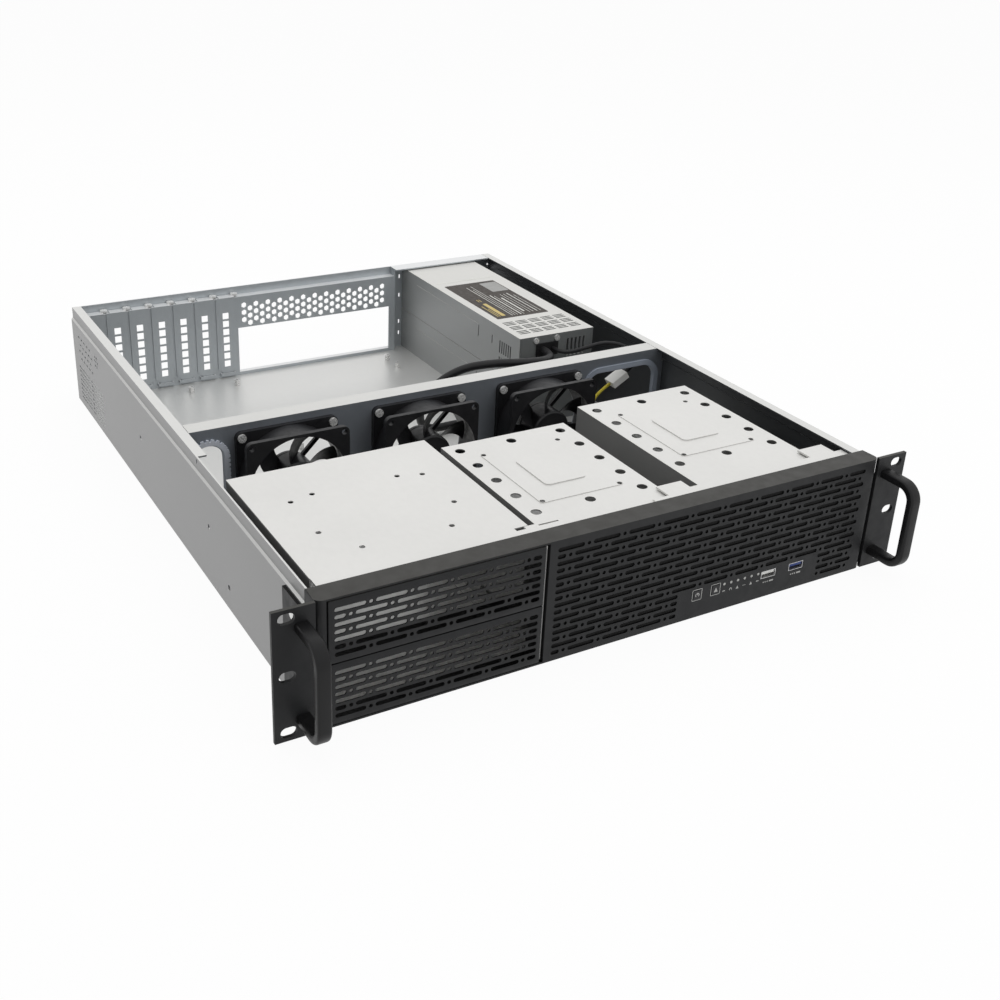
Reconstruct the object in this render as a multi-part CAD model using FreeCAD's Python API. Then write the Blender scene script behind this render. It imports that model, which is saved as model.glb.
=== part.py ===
import FreeCAD, Part
import math
import os

from FreeCAD import Vector

# A two-unit rackmount server case, empty and open at the top, as an assembly of folded sheet
# pieces, fans, a power supply and loose leads. Sizes are in millimetres. X runs to the right
# as seen from the front, Y to the rear and Z up. Every piece is modelled from the front plane
# of the rack ears, the middle of the case and its underside. save() then moves it forward, so
# that the origin is the middle of the underside of the whole case, handles included.

# Overall sizes
RACK_UNIT = 44.45
UNIT_GAP = 0.8
PANEL_WIDTH = 482.6
PANEL_HEIGHT = 2 * RACK_UNIT - UNIT_GAP
EAR_WIDTH = 26.3
BODY_WIDTH = PANEL_WIDTH - 2 * EAR_WIDTH
BODY_DEPTH = 545.0
HANDLE_REACH = 31.5
REAR_SCREW_HEAD = 1.6
SHEET = 1.2
THIN_SHEET = 0.8
CLEARANCE = 0.3
PASS = 1.0

# Tray
WALL_X = BODY_WIDTH / 2
TRAY_TOP = PANEL_HEIGHT - SHEET
LIP_HEIGHT = 10.6
WALL_TOP = TRAY_TOP - LIP_HEIGHT
JOGGLE = 1.4
LIP_X = WALL_X - JOGGLE
TOP_FLANGE = 7.5
FAN_WALL_Y = 246.0
LEFT_FLANGE_START = FAN_WALL_Y - 39.0
LIP_SLOT_LENGTH = 2.0
LIP_SLOT_HEIGHT = 3.5
LIP_SLOT_DROP = 1.5
RAIL_HOLE_RADIUS = 2.0
RAIL_HOLES = ((146.2, 17.1), (182.8, 44.9), (341.6, 44.9))
VENT_SLOT_HEIGHT = 1.9
VENT_ROWS = 8
VENT_ROW_PITCH = 4.15
VENT_Z = 8.0
VENT_Y = BODY_DEPTH - 92.0
VENT_COLUMNS = 2
VENT_SLOT_LENGTH = 36.5
VENT_SLOT_GAP = 3.5
DASH_LENGTH = 5.0
DASH_PITCH = 9.0
DASH_ROWS = 4
DASH_COUNT = 5
DASH_Y = BODY_DEPTH - 65.0
DASH_Z = 47.0
DASH_ROW_PITCH = 6.4
ROUND_VENT_Y = BODY_DEPTH - 78.0
ROUND_VENT_Z = 62.5
ROUND_VENT_PITCH = 4.6
ROUND_VENT_HOLE = 1.5

# Insides of the tray's walls, lips and flanges, with room to slide a bulkhead in
INNER_X = WALL_X - SHEET - CLEARANCE
LIP_INNER_X = LIP_X - SHEET - CLEARANCE
FLANGE_INNER_X = LIP_X - TOP_FLANGE - CLEARANCE
LIP_START_Z = WALL_TOP - JOGGLE
UNDER_FLANGE_Z = TRAY_TOP - SHEET - CLEARANCE
FLOOR_Z = SHEET

# Front panel
BEZEL_DEPTH = 16.0
BEZEL_CORNER = 8.0
BAY_LEFT = -WALL_X + 6.5
BAY_WIDTH = 148.2
BAY_RIGHT = BAY_LEFT + BAY_WIDTH
GRILLE_LEFT = BAY_RIGHT + 5.7
GRILLE_RIGHT = WALL_X - 12.0
GRILLE_ROWS = 16
GRILLE_ROW_PITCH = 5.0
GRILLE_FIRST_ROW = 6.0
GRILLE_PITCH = 27.05
GRILLE_LINK_EVEN = GRILLE_RIGHT - 194.0
GRILLE_LINK_ODD = GRILLE_LINK_EVEN + 13.5
SLOT_HEIGHT = 2.4
SLOT_MARGIN = 3.3
SHORTEST_SLOT = 3.0
CONTROL_RIGHT = GRILLE_RIGHT - 33.5
CONTROL_LEFT = CONTROL_RIGHT - 124.5
CONTROL_ROWS = 4
FILTER_THICKNESS = 1.0
FILTER_OVERLAP = 5.0

# Bay covers
COVER_LEFT = BAY_LEFT + 1.0
COVER_RIGHT = BAY_RIGHT - 2.7
COVER_BOTTOM = SHEET + 0.4
COVER_TOP = TRAY_TOP - 0.9
COVER_SPLIT_GAP = 0.6
COVER_SPLIT = (COVER_BOTTOM + COVER_TOP) / 2
COVER_ROWS = 7
COVER_ROW_PITCH = 4.95
COVER_FIRST_ROW = 5.8
COVER_PITCH = 26.35
COVER_LINK_EVEN = COVER_LEFT + 26.7
COVER_LINK_ODD = COVER_LEFT + 14.0
COVER_BORDER_LEFT = 3.8
COVER_BORDER_RIGHT = 3.0

# Rack ears and handles
EAR_SHEET = 2.5
EAR_LEG = 45.0
EAR_LEG_SHEET = 2.0
EAR_LEG_BOTTOM = 3.0
EAR_SCREW_Y = 28.0
EAR_SCREW_ROWS = (14.0, 40.0, 66.0)
EAR_HOLE_RADIUS = 2.1
EAR_SCREW_HEAD_RADIUS = 3.6
EAR_SCREW_RADIUS = 1.8
EAR_SCREW_LENGTH = 6.0
SLOT_COLUMN_X = PANEL_WIDTH / 2 - 8.75
SLOT_LENGTH = 10.3
SLOT_RADIUS = 3.5
SLOT_SPREAD = 76.2
HANDLE_X = WALL_X + 8.4
HANDLE_BORE_RADIUS = 1.7
HANDLE_SCREW_LENGTH = 9.0
HANDLE_SCREW_HEAD_RADIUS = 3.4
HANDLE_SCREW_HEAD = 2.0
HANDLE_WIDTH = 9.0
HANDLE_BAR = 6.0
HANDLE_HEIGHT = 68.0
HANDLE_OUTER_CORNER = 14.0
HANDLE_INNER_CORNER = HANDLE_OUTER_CORNER - HANDLE_BAR

# Controls behind the front panel
BOARD_TOP = 14.9
BOARD_THICKNESS = 1.6
BOARD_LEFT = CONTROL_LEFT + 10.0
BOARD_RIGHT = CONTROL_RIGHT - 7.5
BOARD_OVERHANG = 3.0
BOARD_FRONT = 7.0
BOARD_REAR = 26.0
BOARD_STAND_FRONT = 18.0
CONTROL_Z = 17.8
BUTTON_WIDTH = 6.5
BUTTON_HEIGHT = 7.0
BUTTON_PROUD = 0.4
BUTTON_LENGTH = 5.0
BUTTON_TRAVEL = 1.2
BUTTON_STEM_RADIUS = 1.5
BUTTON_STEM = 2.5
STEM_FIT = 0.1
SWITCH_SIZE = 8.0
SWITCH_HEIGHT = 6.4
SWITCH_NOSE_RADIUS = 2.6
POWER_BUTTON_X = CONTROL_LEFT + 16.7
RESET_BUTTON_X = CONTROL_LEFT + 32.6
LIGHT_COUNT = 6
LIGHT_FIRST_X = CONTROL_LEFT + 40.1
LIGHT_PITCH = 6.0
LIGHT_Z = 20.0
LIGHT_RADIUS = 1.0
LIGHT_LENGTH = 9.0
LIGHT_FIT = 0.15
LIGHT_BLOCK_WIDTH = 3.0
USB_WHITE_X = CONTROL_LEFT + 79.7
USB_BLUE_X = CONTROL_LEFT + 104.9
USB_WIDTH = 13.1
USB_HEIGHT = 5.7
USB_DEPTH = 14.0
USB_WALL = 0.4
USB_TONGUE = 1.8
USB_TONGUE_WIDTH = 11.0
USB_RECESS = 0.2
USB_TONGUE_RECESS = 1.2
USB_BACK = 2.0

# Frame behind the front panel
FRAME_TOP = TRAY_TOP - 1.9
FRAME_FOOT = 10.0
FRAME_FLANGE = BEZEL_DEPTH + 14.0
FRAME_POST_X = BAY_RIGHT - 1.3
FRAME_POST_FRONT = SHEET + 0.8
FRAME_POST_OVERLAP = 2.0

# Wide-bay cage
CAGE_LEFT = BAY_LEFT + 3.0
CAGE_WIDTH = 148.0
CAGE_FRONT = FRAME_FLANGE + 1.0
CAGE_DEPTH = 140.0
CAGE_TOP = FRAME_TOP - 1.0
CAGE_FOOT = 8.0
WIDE_BAY_HEIGHT = 41.3
SIDE_SLOT_LENGTH = 12.0
SIDE_SLOT_HEIGHT = 3.4
SIDE_SLOT_Z = 9.9
SIDE_SLOT_PLACES = (52.0, 131.0)
CAGE_SMALL_DRIVE_Y = CAGE_FRONT + 58.7
CAGE_LARGE_DRIVE_Y = CAGE_FRONT + 70.2

# Drive hole patterns, across and along the drive
SMALL_DRIVE = (61.72, 76.6)
LARGE_DRIVE = (95.25, 44.45)
DRIVE_HOLE_RADIUS = 1.9

# Drive brackets
BRACKET_WIDTH = 103.4
BRACKET_TOP = FRAME_TOP - 2.1
BRACKET_GAP = 5.9
BRACKET_HOLE_RADIUS = 3.7
BRACKET_HOLE_INSET = 9.6
EMBOSS = 0.5
EMBOSS_MARGIN = 2.0
PAD_WIDTH = 33.0
PAD_LENGTH = 42.0
PAD_RISE = 0.8
PAD_CORNER = 4.0
BRACKET_HOLE_ROWS = 5
MIDDLE_BRACKET_LEFT = CAGE_LEFT + CAGE_WIDTH + BRACKET_GAP
MIDDLE_BRACKET_RIGHT = MIDDLE_BRACKET_LEFT + BRACKET_WIDTH
MIDDLE_BRACKET_FRONT = BEZEL_DEPTH + SHEET + 0.4
MIDDLE_BRACKET_LENGTH = 138.9
MIDDLE_BRACKET_REAR = MIDDLE_BRACKET_FRONT + MIDDLE_BRACKET_LENGTH
MIDDLE_DRIVE_Y = MIDDLE_BRACKET_FRONT + 76.5
MIDDLE_HOLE_ROW_Y = MIDDLE_BRACKET_FRONT + 27.9
MIDDLE_HOLE_PITCH = 25.1
RIGHT_BRACKET_ROOM = INNER_X - MIDDLE_BRACKET_RIGHT - BRACKET_WIDTH
RIGHT_BRACKET_SHARE = 264 / 583
RIGHT_BRACKET_LEFT = MIDDLE_BRACKET_RIGHT + RIGHT_BRACKET_SHARE * RIGHT_BRACKET_ROOM
RIGHT_BRACKET_FRONT = FRAME_FLANGE - 1.0
RIGHT_BRACKET_LENGTH = 148.0
RIGHT_BRACKET_REAR = RIGHT_BRACKET_FRONT + RIGHT_BRACKET_LENGTH
RIGHT_DRIVE_Y = RIGHT_BRACKET_FRONT + 82.2
RIGHT_HOLE_ROW_Y = RIGHT_BRACKET_FRONT + 34.0
RIGHT_HOLE_PITCH = 25.4

# Steps of the frame's top flange: each one's right end and its depth behind the panel
BRACKET_GAP_MIDDLE = (MIDDLE_BRACKET_RIGHT + RIGHT_BRACKET_LEFT) / 2
FLANGE_STEPS = (
    (FRAME_POST_X - 7.0, 14.0), (FRAME_POST_X - 0.2, 10.0), (MIDDLE_BRACKET_LEFT + 15.6, 13.0),
    (MIDDLE_BRACKET_RIGHT - 17.2, SHEET), (MIDDLE_BRACKET_RIGHT - 3.9, 8.0),
    (BRACKET_GAP_MIDDLE + 3.7, 22.0), (FLANGE_INNER_X - 29.4, 12.0),
    (FLANGE_INNER_X - 6.8, 25.0), (FLANGE_INNER_X, 12.0),
)
FLANGE_SLOT_LEFT = MIDDLE_BRACKET_LEFT - 0.6
FLANGE_SLOT_LENGTH = 14.7
FLANGE_SLOT_WIDTH = 1.4
FLANGE_SLOT_INSET = 2.6

# Cross wall with the fans
FAN_WALL_FLANGE = 13.5
FAN_WALL_FOOT = 12.0
FAN_SIZE = 80.0
FAN_DEPTH = 25.0
FAN_HOLES = 71.5
FAN_HOLE_RADIUS = 2.2
FAN_BLADE_DEPTH = 15.0
FAN_CAP_GAP = 3.0
FAN_FACE_GAP = 2.0
FAN_SCREW_RADIUS = 1.7
FAN_FLANGE = 4.0
FAN_BORE = 38.0
FAN_BARREL = 39.6
FAN_HUB = 17.0
FAN_BLADE_TIP = 37.0
FAN_SHAFT = 1.5
SHAFT_FIT = 0.05
FAN_BLADES = 7
BLADE_BOW = 0.11
BLADE_THICKNESS = 0.06
FAN_Z = FLOOR_Z + CLEARANCE + FAN_SIZE / 2
CABLE_GATE_TOP = TRAY_TOP - 10.4
CABLE_GATE_CORNER = 14.0
GATE_INSET = 9.0
GATE_GAP = 6.5
LEFT_GATE_WIDTH = 27.0
RIGHT_GATE_WIDTH = 72.5
LEFT_GATE = (GATE_INSET - WALL_X, GATE_INSET - WALL_X + LEFT_GATE_WIDTH)
RIGHT_GATE = (WALL_X - GATE_INSET - RIGHT_GATE_WIDTH, WALL_X - GATE_INSET)

# The outer fans stand beside the cable gates, the middle one a touch left of half-way
FIRST_FAN_X = LEFT_GATE[1] + GATE_GAP + FAN_SIZE / 2
LAST_FAN_X = RIGHT_GATE[0] - GATE_GAP - FAN_SIZE / 2
MIDDLE_FAN_OFFSET = 0.25
MIDDLE_FAN_X = (FIRST_FAN_X + LAST_FAN_X) / 2 - MIDDLE_FAN_OFFSET
FAN_CENTRES = (FIRST_FAN_X, MIDDLE_FAN_X, LAST_FAN_X)
TRIM_HALF = 2.5
TRIM_DEPTH = 4.2

# Rear wall: from the right, a free strip, the supply, a post and the connector opening
REAR_RECESS = 10.0
REAR_WALL_Y = BODY_DEPTH - REAR_RECESS
LEDGE_Z = TRAY_TOP - 7.4
FREE_STRIP = 25.025
PSU_WIDTH = 76.5
POST_WIDTH = 12.0
IO_WIDTH = 158.75
IO_HEIGHT = 44.45
IO_MARGIN = 6.6
IO_Z = 26.5
PSU_RIGHT = WALL_X - FREE_STRIP
PSU_LEFT = PSU_RIGHT - PSU_WIDTH
IO_WALL_RIGHT = PSU_LEFT - POST_WIDTH
IO_X = IO_WALL_RIGHT - IO_MARGIN - IO_WIDTH / 2
IO_LEFT = IO_X - IO_WIDTH / 2
POST_SLOT_X = IO_WALL_RIGHT + 9.0
POST_SLOT_WIDTH = 1.6
POST_SLOT_HEIGHT = 4.0
POST_SLOTS = (15.8, 28.0, 56.0, 75.4)

# Expansion slots: as many as fit between the left wall and the connector opening
SLOT_INSET = 17.1
SLOT_PITCH = 20.32
SLOT_FIRST_X = SLOT_INSET - WALL_X
COVER_PLATE_WIDTH = 18.4
COVER_GAP = 1.0
SLOT_ROOM = IO_LEFT - COVER_GAP - COVER_PLATE_WIDTH / 2 - SLOT_FIRST_X
SLOT_COUNT = 1 + int(SLOT_ROOM / SLOT_PITCH)
STRAP_WIDTH = 15.0
STRAP_BOTTOM = 3.2
STRAP_TOP = 6.0
STRAP_SHEET = 1.0
SLOT_WINDOW_WIDTH = 13.0
SLOT_WINDOW_BOTTOM = 9.0
SLOT_WINDOW_TOP = LEDGE_Z - 3.5
COVER_TAB_OFFSET = 10.5
COVER_TAB_LEFT = 5.5
COVER_SCREW_INSET = 5.0
COVER_SCREW_HOLE = 2.0
COVER_THREAD_HOLE = 1.7
COVER_FOOT_WIDTH = 10.0
COVER_FOOT_TOP = STRAP_TOP + 0.5
COVER_SHOULDER = 10.5
COVER_HOLE = 6.0
COVER_HOLE_COUNT = 7
COVER_HOLE_PITCH = 7.92
COVER_HOLE_FIRST = 15.2
HEX_COLUMNS = 25
HEX_ROWS = 3
HEX_COLUMN_PITCH = 6.02
HEX_ROW_PITCH = 7.2
HEX_FIRST_X = IO_X - 72.9
HEX_FIRST_Z = 70.7
HEX_RADIUS = 2.8
REAR_TOP_FLANGE = 14.0
SIDE_WINDOW_COUNT = 11
SIDE_WINDOW_FIRST = 10.0
SIDE_WINDOW_PITCH = 6.0
SIDE_WINDOW_HEIGHT = 3.0
SIDE_WINDOW_MARGIN = 4.0
REAR_SCREW_MARGIN = 2.0
REAR_SCREW_ROWS = (12.0, 70.0)
REAR_SCREW_HOLE = 1.6
SUPPLY_WINDOW_MARGIN = 4.0
SUPPLY_WINDOW_LIP = 3.0

# Power supply
PSU_LENGTH = 225.8
PSU_TOP = TRAY_TOP - 2.3
PSU_SHEET = 1.0
PSU_SEAM = 42.0
PSU_SEAM_GAP = 0.4
PSU_REAR = BODY_DEPTH - SHEET
PSU_FRONT = PSU_REAR - PSU_LENGTH
PSU_X = PSU_LEFT + PSU_WIDTH / 2
PSU_PANEL = (71.0, 194.0)
PSU_UPPER_PANEL = (63.0, 75.5)
PSU_LOWER_PANEL = (14.0, 30.6)
PSU_PANEL_RISE = 0.4
PSU_PANEL_CORNER = 2.0
TOP_VENT_COLUMNS = 5
TOP_VENT_ROWS = 3
TOP_VENT_SLOTS = 3
TOP_VENT_BLOCK = 13.2
TOP_VENT_ROW = 12.0
TOP_VENT_LEFT = 6.8
TOP_VENT_FRONT = 10.0
TOP_VENT_LENGTH = 10.6
TOP_VENT_WIDTH = 1.6
TOP_VENT_PITCH = 3.2
SIDE_VENT_COUNT = 6
SIDE_VENT_FRONT = 14.0
SIDE_VENT_PITCH = 3.6
SIDE_VENT_WIDTH = 1.6
SIDE_VENT_ROWS = ((60.5, 72.5), (45.0, 57.0))
SIDE_NOTCH = (46.0, 47.2)
SIDE_NOTCH_HEIGHT = (65.0, 73.0)
FACE_VENT_COUNT = 5
FACE_VENT_LEFT = 49.0
FACE_VENT_PITCH = 4.2
FACE_VENT_WIDTH = 2.2
FACE_VENT_HEIGHT = (62.0, 78.0)
FACE_SCREWS = ((16.5, 80.7), (38.0, 80.7))
FACE_SCREW_RADIUS = 1.4
RING_SLOT_COUNT = 3
RING_SLOT_RADIUS = 22.5
RING_SLOT_WIDTH = 3.9
RING_SLOT_PITCH = 5.5
RING_SPOKE = 2.4
PSU_FAN_SIZE = 50.0
PSU_FAN_DEPTH = 15.0
PSU_FAN_BORE = 23.5
PSU_FAN_HUB = 10.0
PSU_FAN_TIP = 22.6
PSU_FAN_HOLES = 40.0
PSU_FAN_HOLE_RADIUS = 2.0
PSU_FAN_FLANGE = 3.0
PSU_FAN_BLADES = 5
PSU_FAN_BLADE_DEPTH = 8.0
PSU_FAN_Z = 56.0
INLET_WIDTH = 27.0
INLET_HEIGHT = 20.0
INLET_Z = 16.5
INLET_DEPTH = 22.0
INLET_RIM = 1.8
INLET_WALL = 2.0
INLET_WELL_WALL = 2.5
INLET_WELL_DEPTH = 16.0
INLET_PINS = ((-7.0, -2.0), (7.0, -2.0), (0.0, 2.0))
INLET_PIN_WIDTH = 2.0
INLET_PIN_HEIGHT = 4.0
GROMMET_X = PSU_LEFT + 28.0
GROMMET_Z = 71.7
GROMMET_WIDTH = 22.0
GROMMET_HEIGHT = 12.0
GROMMET_LIP = 1.5

# Board pillars: the columns and rows of a full-size board, and two extra ones, where they
# have room between the walls and behind the fans' cross wall
BOARD_RIGHT_COLUMN = IO_X + 67.0
BOARD_REAR_ROW = REAR_WALL_Y - 22.4
PILLAR_COLUMNS = (0.0, -157.48, -281.94)
PILLAR_ROWS = (0.0, -154.94, -227.33)
PILLAR_EXTRAS = ((0.0, -22.86), (-201.93, 0.0))
PILLAR_HEIGHT = 5.5
PILLAR_RADIUS = 2.6
PILLAR_FLOOR = 1.0
PILLAR_BORE = 1.25

# Leads: diameters, and routes as points that the runs between arcs pass
LOOM_DIAMETER = 7.0
LEAD_DIAMETER = 3.6
THIN_LEAD_DIAMETER = 2.6
LOOM_ROUTE = (
    (136.8, 316.5, 71.7), (136.8, 303.0, 71.7), (124.0, 289.0, 74.0), (100.0, 285.0, 77.0),
    (72.0, 291.0, 79.0), (46.0, 301.0, 75.0), (26.0, 310.0, 60.0), (17.0, 318.0, 38.0),
    (22.0, 327.0, 18.0), (38.0, 334.0, 7.0), (58.0, 337.0, 6.4), (75.0, 336.0, 6.4),
)
FAN_POWER_ROUTE = (
    (147.3, 316.5, 71.7), (147.3, 306.5, 71.7), (155.0, 299.0, 73.0), (168.0, 294.5, 77.0),
    (183.0, 292.0, 80.0), (196.0, 285.0, 79.0), (201.5, 273.0, 76.0), (199.0, 263.5, 72.8),
    (191.7, 258.8, 69.0), (183.0, 258.8, 64.0),
)
FAN_LEAD_ROUTE = (
    (127.0, 243.1, 12.0), (133.5, 243.1, 12.0), (140.0, 241.9, 15.5), (144.5, 245.0, 26.0),
    (147.0, 250.5, 36.0), (150.5, 256.0, 45.0), (158.6, 258.8, 50.05), (169.0, 258.8, 56.0),
)
FRONT_LEAD_ROUTE = (
    (162.0, 23.5, 14.1), (176.0, 23.5, 14.1), (189.0, 25.5, 23.0), (200.0, 34.0, 40.0),
    (207.0, 52.0, 58.0), (209.0, 80.0, 67.0), (209.0, 110.0, 62.0), (208.0, 138.0, 48.0),
    (205.0, 165.0, 32.0), (200.0, 192.0, 17.0), (194.0, 219.0, 7.5), (190.0, 246.0, 5.8),
    (183.0, 274.0, 4.0), (168.0, 296.0, 3.2), (146.0, 306.0, 3.2), (124.0, 307.0, 3.2),
)


def box(x0, x1, y0, y1, z0, z1):
    """A block between two opposite corners."""
    return Part.makeBox(x1 - x0, y1 - y0, z1 - z0, Vector(x0, y0, z0))


def join(shapes):
    """One solid from several that touch or overlap."""
    return shapes[0].fuse(shapes[1:]).removeSplitter()


def place_in(plane, u, v, level):
    """A point from its two coordinates in a plane and its level across that plane."""
    if plane == "XZ":
        return Vector(u, level, v)
    if plane == "YZ":
        return Vector(level, u, v)
    return Vector(u, v, level)


def prism(outline, plane, start, end):
    """A solid with a straight-sided outline in a plane, from start to end across it."""
    corners = [place_in(plane, u, v, start) for u, v in outline]
    face = Part.Face(Part.makePolygon(corners + corners[:1]))
    return face.extrude(place_in(plane, 0, 0, end - start))


def rounded_prism(outline, plane, start, end):
    """A prism whose outline has corners (u, v, radius), with an arc where the radius isn't 0."""
    corners = [place_in(plane, u, v, start) for u, v, radius in outline]
    joints = []
    for index, corner in enumerate(corners):
        back = (corners[index - 1] - corner).normalize()
        ahead = (corners[(index + 1) % len(corners)] - corner).normalize()
        half = back.getAngle(ahead) / 2
        radius = outline[index][2]
        setback = radius / math.tan(half)
        middle = corner + (back + ahead).normalize() * (radius / math.sin(half) - radius)
        joints.append((corner + back * setback, middle, corner + ahead * setback))
    edges = []
    for index, (first, middle, last) in enumerate(joints):
        if outline[index][2] > 0:
            edges.append(Part.Arc(first, middle, last).toShape())
        following = joints[(index + 1) % len(joints)][0]
        edges.append(Part.LineSegment(last, following).toShape())
    return Part.Face(Part.Wire(edges)).extrude(place_in(plane, 0, 0, end - start))


def offset_line(line, distance):
    """An open line moved to the left of its direction, with mitred corners."""
    normals = []
    for (u0, v0), (u1, v1) in zip(line, line[1:]):
        length = math.hypot(u1 - u0, v1 - v0)
        normals.append(((v0 - v1) / length, (u1 - u0) / length))
    moved = []
    for index, (u, v) in enumerate(line):
        before = normals[max(index - 1, 0)]
        after = normals[min(index, len(normals) - 1)]
        scale = distance / (1 + before[0] * after[0] + before[1] * after[1])
        moved.append((u + (before[0] + after[0]) * scale, v + (before[1] + after[1]) * scale))
    return moved


def folded_sheet(line, thickness, plane, start, end):
    """Sheet folded along a line. Its thickness lies to the left of the line, or right if negative."""
    return prism(line + offset_line(line, thickness)[::-1], plane, start, end)


def rod(x, y, z, radius, length, axis="Y"):
    """A round bar from a point along X, Y or Z. A negative length runs the other way."""
    directions = {"X": Vector(1, 0, 0), "Y": Vector(0, 1, 0), "Z": Vector(0, 0, 1)}
    direction = directions[axis] * math.copysign(1, length)
    return Part.makeCylinder(radius, abs(length), Vector(x, y, z), direction)


def screw(x, y, z, axis, head_side, head_radius=3.3, head_height=1.8, shank_radius=1.5, shank=5.0):
    """A pan-head screw. The underside of its head lies at the point, towards head_side."""
    head = rod(x, y, z, head_radius, head_side * head_height, axis)
    return join([head, rod(x, y, z, shank_radius, -head_side * shank, axis)])


def mirrored(shape):
    """The same piece on the other side of the case."""
    return shape.mirror(Vector(0, 0, 0), Vector(1, 0, 0))


def save(name, *solids):
    """Writes one piece, or one set of like pieces, moved so that the origin is mid-length."""
    shape = solids[0] if len(solids) == 1 else Part.makeCompound(solids)
    shape = shape.copy()
    shape.translate(Vector(0, -(BODY_DEPTH + REAR_SCREW_HEAD - HANDLE_REACH) / 2, 0))
    shape.exportStep("parts/" + name + ".step")


def bulkhead(y0, y1, top):
    """A plate across the tray, stepped to pass its lips and top flanges."""
    shoulder = min(top, UNDER_FLANGE_Z)
    half = [
        (INNER_X, FLOOR_Z), (INNER_X, LIP_START_Z), (LIP_INNER_X, LIP_START_Z),
        (LIP_INNER_X, shoulder),
    ]
    if top > UNDER_FLANGE_Z:
        half += [(FLANGE_INNER_X, UNDER_FLANGE_Z), (FLANGE_INNER_X, top)]
    return prism(half + [(-x, z) for x, z in reversed(half)], "XZ", y0, y1)


def link_spans(first_link, pitch, low, high):
    """Slots between evenly spaced links, kept within low and high."""
    count_back = math.ceil((first_link - low) / pitch) + 1
    link = first_link - count_back * pitch
    spans = []
    while link < high:
        start = max(link + SLOT_MARGIN, low)
        end = min(link + pitch - SLOT_MARGIN, high)
        if end - start > SHORTEST_SLOT:
            spans.append((start, end))
        link += pitch
    return spans


# Tray, rear wall and expansion slots


def ear_screw_holes(side):
    """Tools for the screw holes through an ear's leg and the wall behind it."""
    start = side * (WALL_X - SHEET - PASS)
    length = side * (SHEET + EAR_LEG_SHEET + 2 * PASS)
    return [rod(start, EAR_SCREW_Y, z, EAR_HOLE_RADIUS, length, "X") for z in EAR_SCREW_ROWS]


def side_vent():
    """Tools for the slots, dashes and round cluster at the rear of the left wall."""
    x0 = -WALL_X - PASS
    x1 = -WALL_X + SHEET + PASS
    half = VENT_SLOT_HEIGHT / 2
    tools = []
    for row in range(VENT_ROWS):
        z = VENT_Z + row * VENT_ROW_PITCH
        for column in range(VENT_COLUMNS):
            y = VENT_Y + column * (VENT_SLOT_LENGTH + VENT_SLOT_GAP)
            tools.append(box(x0, x1, y, y + VENT_SLOT_LENGTH, z - half, z + half))
    for row in range(DASH_ROWS):
        z = DASH_Z + row * DASH_ROW_PITCH
        for column in range(DASH_COUNT):
            y = DASH_Y + column * DASH_PITCH + (row % 2) * DASH_PITCH / 2
            tools.append(box(x0, x1, y, y + DASH_LENGTH, z - half, z + half))
    for step in range(7):
        reach = 0 if step == 6 else ROUND_VENT_PITCH
        y = ROUND_VENT_Y + reach * math.cos(step * math.pi / 3)
        z = ROUND_VENT_Z + reach * math.sin(step * math.pi / 3)
        tools.append(rod(x0, y, z, ROUND_VENT_HOLE, x1 - x0, "X"))
    return tools


def chassis_tray():
    """Floor and side walls in one sheet, with a joggled lip and an inward flange on top."""
    left = [
        (-LIP_X + TOP_FLANGE, TRAY_TOP), (-LIP_X, TRAY_TOP), (-LIP_X, WALL_TOP + JOGGLE),
        (-WALL_X, WALL_TOP), (-WALL_X, 0.0),
    ]
    line = left + [(-x, z) for x, z in reversed(left)]
    tray = folded_sheet(line, SHEET, "XZ", BEZEL_DEPTH, BODY_DEPTH)
    flange_end = box(
        -LIP_X + SHEET, 0, BEZEL_DEPTH - PASS, LEFT_FLANGE_START, TRAY_TOP - 2 * SHEET, PANEL_HEIGHT
    )
    lip_slot_top = TRAY_TOP - LIP_SLOT_DROP
    lip_slot = box(
        -WALL_X, -LIP_X + SHEET, LEFT_FLANGE_START - LIP_SLOT_LENGTH, LEFT_FLANGE_START,
        lip_slot_top - LIP_SLOT_HEIGHT, lip_slot_top,
    )
    tools = [flange_end, lip_slot] + side_vent()
    for side in (-1, 1):
        tools += ear_screw_holes(side)
        for y, z in RAIL_HOLES:
            start = side * (WALL_X + PASS)
            tools.append(rod(start, y, z, RAIL_HOLE_RADIUS, -side * (SHEET + 2 * PASS), "X"))
    return tray.cut(tools)


def slot_centres():
    """The middles of the expansion slots, from the left wall inwards."""
    return [SLOT_FIRST_X + index * SLOT_PITCH for index in range(SLOT_COUNT)]


def hexagon(x, z, y0, y1):
    """A six-sided tool with a corner up and down."""
    corners = []
    for step in range(6):
        angle = math.radians(30 + 60 * step)
        corners.append((x + HEX_RADIUS * math.cos(angle), z + HEX_RADIUS * math.sin(angle)))
    return prism(corners, "XZ", y0, y1)


def hexagon_vent(y0, y1):
    """Tools for the vent above the connector opening, every second column half a row lower."""
    tools = []
    for column in range(HEX_COLUMNS):
        for row in range(HEX_ROWS):
            x = HEX_FIRST_X + column * HEX_COLUMN_PITCH
            z = HEX_FIRST_Z - (row + (column % 2) / 2) * HEX_ROW_PITCH
            tools.append(hexagon(x, z, y0, y1))
    return tools


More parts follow.
